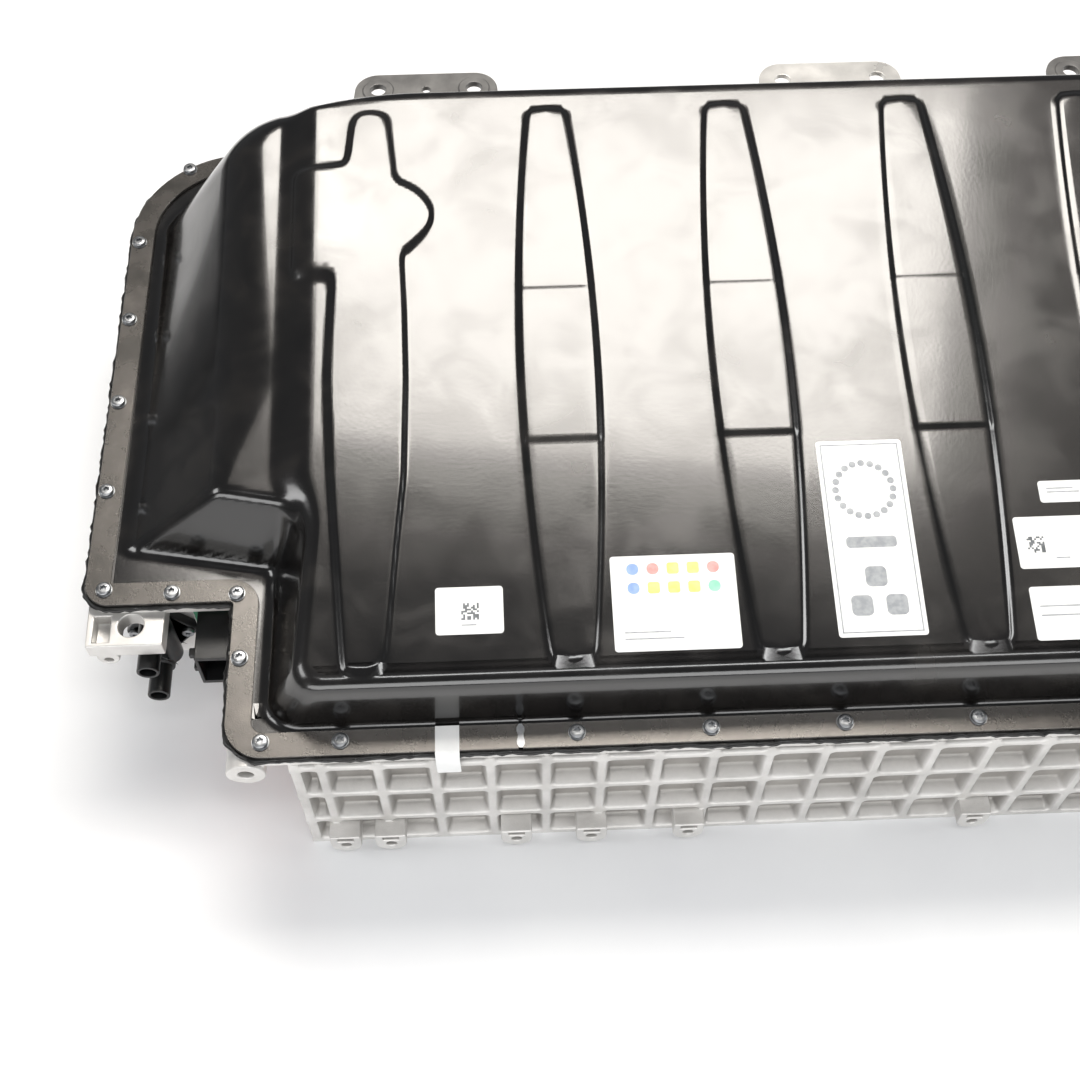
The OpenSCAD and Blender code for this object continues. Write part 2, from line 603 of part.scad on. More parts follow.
// Places children once for each module in a tier, long side along Y
module in_row(z) {
    for (x = mod_x) translate([x, mod_yc, z]) children();
}
module in_front() {
    for (x = front_x) translate([x, front_y, mod1_z]) rotate([0, 0, 90]) children();
}
module in_all() {
    in_row(mod1_z) children();
    in_row(mod2_z) children();
    in_front() children();
}

module cell() {
    box(-cell_w / 2, cell_w / 2, -cell_t / 2, cell_t / 2, 0, cell_h);
    for (s = [-1, 1]) box(s * term_x - 12, s * term_x + 12, -6, 6, cell_h - 0.1, cell_h + term_h);
}
module cells() { for (y = cell_y) translate([0, y, 0]) cell(); }
module cells_lower() { color("#8fa3b5") in_row(mod1_z) cells(); }
module cells_upper() { color("#8fa3b5") in_row(mod2_z) cells(); }
module cells_front() { color("#8fa3b5") in_front() cells(); }

module end_plates() {
    color("gainsboro") in_all() for (s = [0, 1]) rotate([0, 0, s * 180]) difference() {
        box(-cell_w / 2, cell_w / 2, -module_len / 2, -module_len / 2 + end_t, 0, cell_h + 2);
        for (t = [-1, 1]) translate([t * (cell_w / 2 - 8), -module_len / 2 + end_t / 2, -1]) cylinder(r = 3.3, h = cell_h + 4);
        for (t = [-1, 0, 1]) box(t * 36 - 14, t * 36 + 14, -module_len / 2 - 1, -module_len / 2 + end_t / 2, 12, cell_h - 10);
    }
}

module side_plates() {
    color("lightgray") in_all() for (s = [-1, 1])
        box(s > 0 ? cell_w / 2 + 0.5 : -cell_w / 2 - 0.5 - side_t, s > 0 ? cell_w / 2 + 0.5 + side_t : -cell_w / 2 - 0.5, -module_len / 2, module_len / 2, 2, cell_h - 2);
}

// Thin sheets between neighbouring cells
module cell_spacers() {
    color("ivory") in_all() for (k = [0:cell_n]) translate([0, (k - cell_n / 2) * (cell_t + cell_gap), 0])
        box(-cell_w / 2 + 2, cell_w / 2 - 2, -cell_gap / 2, cell_gap / 2, 2, cell_h - 4);
}

car_z = cell_h;
module bar_carriers() {
    color("#d8d8c8") in_all() difference() {
        box(-cell_w / 2 + 1, cell_w / 2 - 1, -module_len / 2 + end_t + 1, module_len / 2 - end_t - 1, car_z, car_z + carrier_t);
        for (s = [-1, 1]) box(s * term_x - 14, s * term_x + 14, cell_y[0] - 10, cell_y[cell_n - 1] + 10, car_z - 1, car_z + carrier_t + 1);
    }
}

module cell_bars() {
    z = cell_h + term_h;
    color("peru") in_all() {
        for (k = [0:2:cell_n - 2]) box(term_x - 12, term_x + 12, cell_y[k] - 9, cell_y[k + 1] + 9, z, z + bar_t);
        for (k = [1:2:cell_n - 2]) box(-term_x - 12, -term_x + 12, cell_y[k] - 9, cell_y[k + 1] + 9, z, z + bar_t);
        for (k = [0, cell_n - 1]) box(-term_x - 12, -term_x + 12, cell_y[k] - 9, cell_y[k] + 9, z, z + bar_t);
    }
}

module cell_boards() {
    z = car_z + carrier_t;
    color("darkgreen") in_all() {
        box(-28, 28, cell_y[0] - 8, cell_y[cell_n - 1] + 8, z, z + board_t);
        for (k = [-1, 1]) box(-14, 14, k * 70 - 8, k * 70 + 8, z + board_t, z + board_t + 5);
    }
}

module module_bolts() {
    color("dimgray") in_all() for (s = [-1, 1], t = [-1, 1])
        translate([t * (cell_w / 2 - 8), s * (module_len / 2 - end_t / 2), cell_h + 2]) {
            cylinder(r = 5.5, h = 5);
            translate([0, 0, -cell_h - 2]) cylinder(r = 3, h = cell_h + 3);
        }
}

// Bars from one module to the next
module module_links() {
    z = cell_h + term_h + bar_t;
    color("orange") for (t = [mod1_z, mod2_z]) for (k = [0:mod_n - 2]) {
        y = (k % 2 == 0) ? cell_y[0] : cell_y[cell_n - 1];
        translate([0, mod_yc, t]) box(mod_x[k] - term_x - 8, mod_x[k + 1] - term_x + 8, y - 7, y + 7, z, z + bar_t);
    }
}

// ---- junction box ----

module box_base() {
    color("#303030") difference() {
        union() {
            box(jb_x0, jb_x0 + jb_w, jb_y0, jb_y0 + jb_len, ear_z, jb_z + jb_t);
            for (y = [jb_y0, jb_y0 + jb_len - 3]) box(jb_x0, jb_x0 + jb_w, y, y + 3, ear_z, jb_z + 40);
        }
        for (s = [6, jb_w - 6], t = [10, jb_len - 10]) translate([jb_x0 + s, jb_y0 + t, ear_z - 1]) cylinder(r = 2.6, h = 20);
    }
}
module box_screws() {
    color("silver") for (s = [6, jb_w - 6], t = [10, jb_len - 10]) translate([jb_x0 + s, jb_y0 + t, jb_z + jb_t]) {
        cylinder(r = 4.5, h = 3);
        translate([0, 0, -jb_t - 2]) cylinder(r = 2.5, h = jb_t + 2.5);
    }
}

con_z = jb_z + jb_t;
// Sealed case with its two contact posts left out
module contactor_case(w, d, h) {
    difference() {
        box(-w / 2, w / 2, -d / 2, d / 2, 0, h);
        box(-w / 2 + case_wall, w / 2 - case_wall, -d / 2 + case_wall, d / 2 - case_wall, case_wall, h - case_wall);
        for (s = [-1, 1]) translate([s * w * 0.25, 0, h - case_wall - 1]) cylinder(r = post_r + 0.1, h = 10);
    }
}
// Plunger r, standing in the coil; the core plate over it stops it after the stroke
module contactor_coil(d, r, h) {
    translate([0, 0, case_wall]) difference() {
        cylinder(r = d / 2, h = 4 + h + spring_room + 3);
        translate([0, 0, 3.5]) cylinder(r = r + e, h = 0.5 + h + spring_room);
        cylinder(r = r * 0.3 + e, h = 100);
    }
}
// Plunger, stem and moving bridge; rests open and closes upward by the stroke
module contact_bridge(w, r, h, case_h) {
    z0 = case_wall + 4;
    zb = case_h - case_wall - 8 - stroke - e;
    translate([0, 0, z0]) cylinder(r = r, h = h);
    translate([0, 0, z0 + h - 1]) cylinder(r = r * 0.3, h = zb - 3 - z0 - h + 1.5);
    box(-w * 0.34, w * 0.34, -6, 6, zb - 4, zb);
}
module contact_posts(w, h) {
    for (s = [-1, 1]) translate([s * w * 0.25, 0, h - case_wall - 8]) {
        cylinder(r = post_r, h = case_wall + 16);
        cylinder(r = post_r + 1, h = 5);
    }
}
module return_spring(r, h) {
    translate([0, 0, case_wall + 4 + h + e]) coil_spring(r * 0.3 + 1.4, 1, spring_room - 2 * e);
}
spring_room = 7;             // between the plunger and the core plate
main_d = 34; main_r = 6; main_h = 22;
pre_w = case_w * 0.66; pre_depth = case_d * 0.62; pre_h = case_h * 0.8;
pre_d = 22; pre_r = 5; pre_plunger = 12;
module at_mains() { for (y = con_y) translate([con_x, y, con_z]) children(); }
module at_pre() { translate([pre_x, pre_y, con_z]) children(); }

module contactor_cases() {
    color("#e8e4d8") {
        at_mains() contactor_case(case_w, case_d, case_h);
        at_pre() contactor_case(pre_w, pre_depth, pre_h);
    }
}
module contactor_coils() {
    color("peru") {
        at_mains() contactor_coil(main_d, main_r, main_h);
        at_pre() contactor_coil(pre_d, pre_r, pre_plunger);
    }
}
module main_contacts() {
    color("goldenrod") {
        at_mains() contact_posts(case_w, case_h);
        at_pre() contact_posts(pre_w, pre_h);
    }
}
module bridge_plus() { color("darkkhaki") translate([con_x, con_y[0], con_z]) contact_bridge(case_w, main_r, main_h, case_h); }
module bridge_minus() { color("darkkhaki") translate([con_x, con_y[1], con_z]) contact_bridge(case_w, main_r, main_h, case_h); }
module bridge_charge() { color("darkkhaki") at_pre() contact_bridge(pre_w, pre_r, pre_plunger, pre_h); }
module spring_plus() { color("silver") translate([con_x, con_y[0], con_z]) return_spring(main_r, main_h); }
module spring_minus() { color("silver") translate([con_x, con_y[1], con_z]) return_spring(main_r, main_h); }
module spring_charge() { color("silver") at_pre() return_spring(pre_r, pre_plunger); }

module charge_resistor() {
    color("#c9b27c") box(jb_x0 + 82, jb_x0 + 100, jb_y0 + 110, jb_y0 + 170, con_z, con_z + 16);
}
module main_fuse() {
    color("white") translate([jb_x0 + 92, jb_y0 + 22, con_z + 22]) rotate([-90, 0, 0]) cylinder(r = 17, h = 66);
}
module current_sensor() {
    color("#222244") difference() {
        box(jb_x0 + 58, jb_x0 + 74, jb_y0 + 146, jb_y0 + 176, con_z, con_z + 34);
        box(jb_x0 + 57, jb_x0 + 75, jb_y0 + 152, jb_y0 + 170, con_z + 12, con_z + 18);
    }
}
module box_bars() {
    z = con_z + case_h + 8.3;
    color("peru") difference() {
        union() {
            for (y = con_y) box(con_x - case_w * 0.25 - 9, con_x - case_w * 0.25 + 9, y - 9, y + 9, z - 3, z);
            box(con_x + case_w * 0.25 - 9, jb_x0 + 100, con_y[0] - 9, con_y[0] + 9, z - 3, z);
            box(jb_x0 + 84, jb_x0 + 100, con_y[0] - 9, con_y[0] + 9, con_z + 39, z - 2);
            box(con_x + case_w * 0.25 - 9, jb_x0 + jb_w - 8, con_y[1] - 9, con_y[1] + 9, z - 3, z);
        }
        at_mains() for (s = [-1, 1]) translate([s * case_w * 0.25, 0, case_h - 5]) cylinder(r = post_r + 0.1, h = 30);
    }
}

// ---- controller ----

module controller_case() {
    color("silver") difference() {
        box(jb_x0, jb_x0 + jb_w - 8, bms_y0, bms_y0 + bms_len, ear_z, ear_z + 34);
        box(jb_x0 + 3, jb_x0 + jb_w - 11, bms_y0 + 3, bms_y0 + bms_len - 3, ear_z + 3, ear_z + 40);
    }
}
module controller_lid() {
    color("#333333") {
        box(jb_x0, jb_x0 + jb_w - 8, bms_y0, bms_y0 + bms_len, ear_z + 34, ear_z + 36.5);
        box(jb_x0 + 14, jb_x0 + jb_w - 22, bms_y0 + 12, bms_y0 + bms_len - 34, ear_z + 36, ear_z + 39);
        box(jb_x0 + 20, jb_x0 + jb_w - 28, bms_y0 + bms_len - 26, bms_y0 + bms_len - 6, ear_z + 36, ear_z + 50);
    }
}
module controller_screws() {
    color("silver") for (s = [6, jb_w - 14], t = [6, bms_len - 6]) translate([jb_x0 + s, bms_y0 + t, ear_z + 36.5]) {
        cylinder(r = 3.5, h = 2.5);
    }
}

// ---- labels ----

// Plate on the sloping top: middle x, middle y, width, height
module on_top(x, y, w, h, t = 0.4) {
    translate([x, y, top_at(y)]) rotate([top_slope, 0, 0]) translate([-w / 2, -h / 2, 0]) cube([w, h, t]);
}
module labels() {
    color("white") {
        on_top(bead_x[0] + 76, foot_f + 60, 50, 37);
        on_top(bead_x[1] + 76, foot_f + 61, 93, 75);
        on_top(bead_x[2] + 75, foot_f + 108, 66, 160);
        on_top(bead_x[3] + 64, foot_f + 98, 64, 42);
        on_top(bead_x[3] + 78, foot_f + 139, 44, 18);
        on_top(bead_x[3] + 65, foot_f + 42, 60, 42);
    }
}
module wrap_label() {
    x = xN + 166;
    color("white") {
        box(x - 9, x + 9, yF - e - 0.4, yF + strip_w, top_z, top_z + 0.4);
        box(x - 9, x + 9, yF - e - 0.4, yF - e, strip_z - 10, top_z + 0.4);
    }
}

tray();
cover_seal();
cover();
strip_left();
strip_front();
strip_right();
strip_back();
cover_screws();
bracket_left();
bracket_middle();
bracket_right();
bracket_bolts();
coolant_inlet();
coolant_seal();
coolant_screws();
signal_socket();
socket_gasket();
power_socket();
power_contacts();
socket_screws();
vent_body();
vent_valve();
vent_spring();
ground_stud();
cooling_plate_lower();
cooling_plate_upper();
coolant_pipes();
heat_pads();
tier_frame();
cells_lower();
cells_upper();
cells_front();
end_plates();
side_plates();
cell_spacers();
bar_carriers();
cell_bars();
cell_boards();
module_bolts();
module_links();
box_base();
contactor_cases();
contactor_coils();
main_contacts();
bridge_plus();
bridge_minus();
bridge_charge();
spring_plus();
spring_minus();
spring_charge();
charge_resistor();
main_fuse();
current_sensor();
box_bars();
box_screws();
controller_case();
controller_lid();
controller_screws();
labels();
wrap_label();
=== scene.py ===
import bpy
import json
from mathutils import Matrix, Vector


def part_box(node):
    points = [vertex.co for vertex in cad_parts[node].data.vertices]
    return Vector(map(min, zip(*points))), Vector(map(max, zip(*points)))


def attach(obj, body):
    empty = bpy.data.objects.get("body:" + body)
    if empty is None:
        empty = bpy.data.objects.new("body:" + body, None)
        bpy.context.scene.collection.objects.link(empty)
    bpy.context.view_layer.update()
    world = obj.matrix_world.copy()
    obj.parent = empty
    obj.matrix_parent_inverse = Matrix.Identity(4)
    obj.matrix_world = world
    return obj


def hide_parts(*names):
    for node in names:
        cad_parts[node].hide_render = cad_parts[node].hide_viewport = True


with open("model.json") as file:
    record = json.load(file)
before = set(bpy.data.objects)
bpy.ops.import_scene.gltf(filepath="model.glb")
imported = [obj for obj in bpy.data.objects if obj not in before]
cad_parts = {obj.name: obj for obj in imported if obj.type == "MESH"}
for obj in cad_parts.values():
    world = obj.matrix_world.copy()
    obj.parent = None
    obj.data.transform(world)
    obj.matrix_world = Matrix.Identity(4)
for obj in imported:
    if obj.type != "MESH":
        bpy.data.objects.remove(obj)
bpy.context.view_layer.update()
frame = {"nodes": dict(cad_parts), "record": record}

import json
import math
import random

import bmesh
import bpy
import numpy as np
from mathutils import Matrix, Vector

# ----------------------------------------
# The table and the light. A white paper floor, soft lamps over the back of the
# pack, which the black cover mirrors, and softer ones in front and at the sides.
# ----------------------------------------
scene = bpy.context.scene
scene.view_settings.view_transform = "Standard"


def linear(hex_colour):
    parts = [int(hex_colour[i:i + 2], 16) / 255 for i in (1, 3, 5)]
    return tuple(c / 12.92 if c <= 0.04045 else ((c + 0.055) / 1.055) ** 2.4 for c in parts) + (1.0,)


def add(material, kind, inputs=None, **settings):
    """Adds a node: its settings, then its inputs, each a value or another node's output."""
    tree = material.node_tree
    made = tree.nodes.new(kind)
    for name, value in settings.items():
        setattr(made, name, value)
    for name, value in (inputs or {}).items():
        # some nodes keep hidden sockets of the same name, so only those in use count
        socket = made.inputs[name] if isinstance(name, int) else next(
            known for known in made.inputs if known.enabled and known.name == name)
        if isinstance(value, bpy.types.NodeSocket):
            tree.links.new(value, socket)
        else:
            socket.default_value = value
    return made


def new_material(name):
    material = bpy.data.materials.new(name)
    material.use_nodes = True
    material.node_tree.nodes.clear()
    return material


def shade(material, **inputs):
    """Ends a material in one shader. Underscores in a name stand for spaces."""
    shader = add(material, "ShaderNodeBsdfPrincipled", {k.replace("_", " "): v for k, v in inputs.items()})
    add(material, "ShaderNodeOutputMaterial", {"Surface": shader.outputs[0]})
    return material


def ramp(material, factor, stops):
    """Colours or greys along a factor: stops are (place, hex colour or number)."""
    made = add(material, "ShaderNodeValToRGB", {"Fac": factor})
    steps = made.color_ramp.elements
    while len(steps) < len(stops):
        steps.new(0.5)
    for step, (place, value) in zip(steps, stops):
        step.position = place
        step.color = linear(value) if isinstance(value, str) else (value, value, value, 1)
    return made.outputs[0]


# Seamless paper, matt white with a very faint tooth
paper_floor = new_material("seamless_paper")
place = add(paper_floor, "ShaderNodeTexCoord").outputs["Object"]
tooth = add(paper_floor, "ShaderNodeTexNoise", {"Vector": place, "Scale": 6.0, "Detail": 4.0})
shade(paper_floor, Roughness=0.9,
    Base_Color=ramp(paper_floor, tooth.outputs[0], [(0.3, "#e9eaec"), (0.7, "#eff0f1")]))

# Sealed concrete round the paper: mid grey, matt, faintly blotched
concrete = new_material("sealed_concrete")
place = add(concrete, "ShaderNodeTexCoord").outputs["Object"]
blotch = add(concrete, "ShaderNodeTexNoise", {"Vector": place, "Scale": 1.5, "Detail": 5.0})
shade(concrete, Roughness=0.8,
    Base_Color=ramp(concrete, blotch.outputs[0], [(0.3, "#5f6062"), (0.7, "#6b6c6e")]))

for name, width, depth, x, y, z, material in (
        ("floor", 3.7, 3.9, 0.72, -0.15, 0.0, paper_floor),
        ("ground", 16, 16, 0, 0, -0.03, concrete)):
    bpy.ops.mesh.primitive_plane_add(size=1, location=(x, y, z))
    sheet_floor = bpy.context.object
    sheet_floor.name = name
    sheet_floor.scale = (width, depth, 1)
    bpy.ops.object.transform_apply(location=True, rotation=False, scale=True)
    sheet_floor.data.materials.append(material)

world = bpy.data.worlds.new("studio")
scene.world = world
world.use_nodes = True
world.node_tree.nodes["Background"].inputs[0].default_value = (0.93, 0.96, 1.0, 1)
world.node_tree.nodes["Background"].inputs[1].default_value = 0.16


def softbox(name, place, aim, width, depth, watts, colour="#ffffff"):
    lamp = bpy.data.lights.new(name, "AREA")
    lamp.shape = "RECTANGLE"
    lamp.size, lamp.size_y = width, depth
    lamp.energy = watts
    lamp.color = linear(colour)[:3]
    made = bpy.data.objects.new(name, lamp)
    scene.collection.objects.link(made)
    made.location = place
    made.rotation_euler = (Vector(aim) - Vector(place)).to_track_quat("-Z", "Y").to_euler()
    return made


softbox("overhead", (0.10, 1.16, 2.6), (-0.02, 0.1, 0.1), 1.58, 0.98, 62, "#fffaf3")
softbox("overhead_left", (-0.86, 1.46, 2.6), (-0.4, 0.1, 0.1), 0.42, 0.5, 8, "#fffaf3")
softbox("overhead_wide", (0.1, 1.3, 2.75), (0.0, 0.1, 0.1), 2.7, 1.8, 10, "#fff6ec")
softbox("front", (-0.3, -2.9, 0.9), (0, -0.3, 0.1), 5.0, 1.2, 72)
softbox("front_top", (0.1, -1.0, 2.6), (0.1, -0.3, 0.2), 2.2, 0.28, 18)
softbox("left", (-3.1, -0.5, 2.1), (-0.4, -0.1, 0.2), 1.6, 0.9, 24)
softbox("right", (3.4, 0.2, 2.0), (0.4, -0.1, 0.2), 2.0, 1.0, 44)

view = bpy.data.cameras.new("camera")
view.lens, view.sensor_width = 50.63, 36
view.clip_start = 0.05
pitch_down, yaw_right = 58.07, 2.32
camera = bpy.data.objects.new("camera", view)
scene.collection.objects.link(camera)
camera.location = (-0.2268, -0.7748, 1.2048)
camera.rotation_euler = (math.radians(90 - pitch_down), 0, math.radians(-yaw_right))
scene.camera = camera

# ----------------------------------------
# The cover. One pressed and painted steel sheet: a flat flange that the strips
# clamp, steep walls, a top that slopes down to the front with six raised beads,
# and a lower shoulder that runs down over the connector end.
# ----------------------------------------
mm = 0.001
cover_lo, cover_hi = (np.array(corner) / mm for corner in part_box("cover"))
left, front, flange = cover_lo          # the flange's edges and underside
right, back, _ = cover_hi
sheet = 1.5
flange_top = flange + sheet
strip_width, rim_margin = 24, 1         # the cover's edge lies that far inside the rim's
inset = strip_width - rim_margin        # from the flange's edge to the foot of the walls
foot_front, foot_back, foot_right = front + inset, back - inset, right - inset
notch_x = left + 117.5                  # the corner left open for the connectors
notch_y = front + 134


def ease(t):
    t = np.clip(t, 0, 1)
    return t * t * (3 - 2 * t)


def rounded(a, b, r):
    """Distance to what two surfaces share, with the edge between them rounded to r."""
    return np.minimum(np.maximum(a + r, b + r), 0) + np.hypot(np.maximum(a + r, 0), np.maximum(b + r, 0)) - r


def filleted(a, b, r):
    """Distance to two joined bodies, with a fillet of r between them."""
    return -rounded(-a, -b, r)


def slope(z, z0, dx, dy, x, y):
    """Distance above a sloping plane that is z0 at the origin."""
    return (z - z0 - dx * x - dy * y) / math.sqrt(1 + dx * dx + dy * dy)


def plan_box(x, y, x0, y0, x1, y1, radii):
    """Distance to a rectangle with its own corner radii, in plan: front left, front right, back right, back left."""
    cx, cy = (x0 + x1) / 2, (y0 + y1) / 2
    r = np.where(x < cx, np.where(y < cy, radii[0], radii[3]), np.where(y < cy, radii[1], radii[2]))
    qx, qy = np.abs(x - cx) - (x1 - x0) / 2 + r, np.abs(y - cy) - (y1 - y0) / 2 + r
    return np.minimum(np.maximum(qx, qy), 0) + np.hypot(np.maximum(qx, 0), np.maximum(qy, 0)) - r


def flange_edge(x, y):
    a = plan_box(x, y, left, notch_y, right, back, (20, 3, 59, 98))
    b = plan_box(x, y, notch_x, front, right, 0, (29, 39, 3, 3))
    return np.minimum(a, b)


top_rise = math.tan(math.radians(8.53))
bead_height, top_back, paint_gap = 2.5, 225, 0.4
top_z0 = cover_hi[2] - bead_height - top_rise * top_back - paint_gap     # height of the top over the origin
# each wall's steepness, as height over run
rise_front, rise_back, rise_right, rise_left, rise_ear = 10.6, 3.25, 2.3, 2.1, 2.9
bow_from = -290                         # left of this the back wall bows forward
shoulder_drop = 10                      # the shoulder lies that far below the top
step_middle, step_foot, left_foot = -392, -403, -411


def outer_skin(x, y, z):
    """Distance to the cover's raised part, walls and top with their rounded edges."""
    top = slope(z, top_z0, 0, top_rise, x, y)
    wall_front = slope(z, flange_top - rise_front * foot_front, 0, rise_front, x, y)
    bow = np.maximum(bow_from - x, 0) ** 2 / 700
    wall_back = slope(z, flange_top + rise_back * (foot_back - bow), 0, -rise_back, x, y)
    wall_right = slope(z, flange_top + rise_right * foot_right, -rise_right, 0, x, y)
    # the left wall leans in from its foot; over the shoulder it is a short step at 45 degrees
    step = slope(z, top_z0 - shoulder_drop / 2 - step_middle, 1.0, top_rise, x, y)
    step = np.maximum(step, step_foot - x)
    wall_left = slope(z, flange_top - rise_left * left_foot, rise_left, 0, x, y)
    wall_left -= np.maximum(wall_left - step, 0) * ease((y + 165) / 60)
    walls = rounded(rounded(wall_front, wall_right, 34), rounded(wall_back, wall_right, 46), 2)
    walls = rounded(walls, wall_left, 8 + 14 * ease((-230 - y) / 40))
    main = rounded(walls, top, 9)
    # the shoulder and the ear, its long slope down to the connector end
    shoulder = slope(z, top_z0 - shoulder_drop, 0, top_rise, x, y)
    run = 0.86 + 0.0023 * np.maximum(y + 30, 0)
    ear_slope = (z - flange_top - run * (x + 530)) / np.sqrt(1 + run * run)
    lean = -142 - 0.19 * (x + 455)
    ear_front = (z - flange_top - rise_ear * (y - lean)) / math.sqrt(1 + rise_ear ** 2)
    ear_back = slope(z, flange_top + rise_back * (foot_back - bow / 2), 0, -rise_back, x, y)
    ear = rounded(rounded(ear_slope, ear_back, 38), ear_front, 5)
    ear = rounded(ear, shoulder, 5 + 15 * ease((y + 125) / 120))
    ear = ear + 0.15 * np.maximum(x + 330, 0)         # it fades out to the right, inside the main part
    return filleted(filleted(main, ear, 9), z - flange_top, 6)


def height(x, y):
    """The skin's height over each point in plan, found by halving."""
    low, high = np.full_like(x, flange_top - 1.0), np.full_like(x, 330.0)
    for _ in range(26):
        middle = (low + high) / 2
        outside = outer_skin(x, y, middle) > 0
        high = np.where(outside, middle, high)
        low = np.where(outside, low, middle)
    return (low + high) / 2


bead_first, bead_pitch, bead_front, bead_back = -333.0, 151.5, -271.0, 222.0
bead_centres = [bead_first + k * bead_pitch for k in range(6)]


def bead_half(y):
    """Half the width of a bead, narrow at both ends and widest in the middle."""
    t = np.clip((y - bead_front) / (bead_back - bead_front), 0, 1)
    return 15.5 + 15.0 * np.sin(np.pi * t) ** 0.85


# outline of the first bead, which opens to the left step and swells round a boss,
# measured from the rim's front left corner
odd_bead = np.array([(-200, 468), (-175, 470), (-170, 474), (-166, 515), (-158, 523), (-142, 522),
    (-136, 514), (-130, 453), (-116, 446), (-106, 436), (-100, 424), (-100, 412), (-106, 400),
    (-118, 387), (-125, 381), (-123, 332), (-122, 266), (-124, 182), (-130, 123), (-137, 42),
    (-144, 28), (-167, 29), (-169, 34), (-173, 86), (-180, 184), (-184, 268), (-181, 363),
    (-215, 366), (-215, 468)], float) - (180, 301)


def corners_eased(points, cut):
    """Cuts each corner of an outline back by up to that much, which rounds it."""
    out = []
    for a, b in zip(points, np.roll(points, -1, 0)):
        t = min(0.25, cut / math.hypot(*(b - a)))
        out += [a + (b - a) * t, b - (b - a) * t]
    return np.array(out)


odd_bead = corners_eased(corners_eased(odd_bead, 5), 2)


def outline_distance(x, y, points):
    """Distance to a closed outline in plan, negative inside."""
    best = np.full(x.shape, 1e9)
    inside = np.zeros(x.shape, bool)
    for (ax, ay), (bx, by) in zip(points, np.roll(points, -1, 0)):
        ex, ey = bx - ax, by - ay
        t = np.clip(((x - ax) * ex + (y - ay) * ey) / (ex * ex + ey * ey), 0, 1)
        best = np.minimum(best, np.hypot(x - ax - t * ex, y - ay - t * ey))
        crosses = (ay > y) != (by > y)
        inside ^= crosses & (x < ax + (y - ay) * ex / np.where(ey == 0, 1e-9, ey))
    return np.where(inside, -best, best)


def bead_rise(x, y):
    """Height that the beads add: a soft step all round each, lower past each of its two cross folds."""
    level = 3.6 - 0.4 * ease((44 - y) / 3) - 0.8 * ease((-90 - y) / 5)
    rise = 3.2 * ease(-outline_distance(x, y, odd_bead) / 6.5 + 0.5)
    for centre in bead_centres[1:]:
        side = np.abs(x - centre) - bead_half(y)
        ends = np.maximum(bead_front - y, y - bead_back)
        step_width = 6.5 - 1.2 * ease((-230 - y) / 20)
        rise = np.maximum(rise, level * ease(-rounded(side, ends, 11) / step_width + 0.5))
    return rise


def spread(stretches):
    """Places from stretches of (end, step), starting at the first."""
    out = [stretches[0]]
    for end, step in stretches[1:]:
        n = max(1, round((end - out[-1]) / step))
        out += list(np.linspace(out[-1], end, n + 1)[1:])
    return np.array(out)


# rows and columns lie close together where the sheet bends, and wide apart on its flats
rows = spread([front, (front + 16, 4), (foot_front - 6, 1.8), (foot_front + 9, 0.95),
    (foot_front + 22, 1.8), (bead_front - 8, 3.0), (bead_front + 14, 1.8), (-152, 6), (-118, 1.9),
    (-97, 4), (-83, 1.7), (38, 5.5), (48, 1.6), (74, 5), (184, 2.9), (212, 4),
    (230, 1.8), (243, 4), (262, 2.1), (foot_back + 6, 3.4), (back, 4)])
columns = spread([left, (-534, 5), (-516, 2.6), (-470, 4.6), (-412, 3.4), (-338, 1.7),
    (-312, 2.3), (-272, 1.8), (-240, 6)])
across_bead = (-38, -34.2, -32.2, -30.5, -28.8, -26.8, -22, 0, 22, 26.8, 28.8, 30.5, 32.2, 34.2, 38)
for centre in bead_centres[1:]:
    columns = np.append(columns, [centre + d for d in across_bead])
    between = np.linspace(centre + 37, centre + bead_pitch - 37, 8)[1:-1]
    columns = np.append(columns, between if centre < bead_centres[-1] else [])
columns = np.append(columns, spread([465, (500, 4.5), (foot_right + 6, 2.6), (right, 4)]))
columns = np.unique(columns)

bpy.ops.object.select_all(action="DESELECT")
bpy.ops.mesh.primitive_grid_add(x_subdivisions=len(columns) - 1, y_subdivisions=len(rows) - 1, size=1)
cover = bpy.context.object
cover.name = "pressed_cover"
gx, gy = np.meshgrid(columns, rows)
# the columns beside each bead follow its edge as it widens and narrows
for centre in bead_centres[1:]:
    near = np.abs(gx - centre)
    shift = bead_half(gy) - 30.5
    share = np.where(near <= 30.5, near / 30.5, np.clip((60 - near) / 29.5, 0, 1))
    in_length = ease((gy - bead_front + 30) / 30) * ease((bead_back + 20 - gy) / 20)
    gx = np.where(near < 60, gx + np.sign(gx - centre) * shift * share * in_length, gx)
gz = height(gx, gy) + bead_rise(gx, gy) * ease((gy - foot_front - 8) / 6)
cover.data.vertices.foreach_set("co", (np.stack([gx, gy, gz], -1) * mm).ravel())
cover.data.update()

# the sheet is trimmed to the flange's edge, then given its thickness
shell = bmesh.new()
shell.from_mesh(cover.data)
centres = np.array([f.calc_center_median()[:2] for f in shell.faces]) / mm
gone = flange_edge(centres[:, 0], centres[:, 1]) > 0
bmesh.ops.delete(shell, geom=[f for f, g in zip(list(shell.faces), gone) if g], context="FACES")
for v in [v for v in shell.verts if v.is_boundary]:
    x, y = np.array(v.co[:2]) / mm
    for _ in range(3):
        d = flange_edge(x, y)
        nx = (flange_edge(x + 0.05, y) - d) / 0.05
        ny = (flange_edge(x, y + 0.05) - d) / 0.05
        x, y = x - d * nx, y - d * ny
    v.co[0], v.co[1] = x * mm, y * mm
shell.to_mesh(cover.data)
shell.free()
walls = cover.modifiers.new("sheet", "SOLIDIFY")
walls.thickness = sheet * mm
walls.offset = -1
bpy.ops.object.modifier_apply(modifier="sheet")
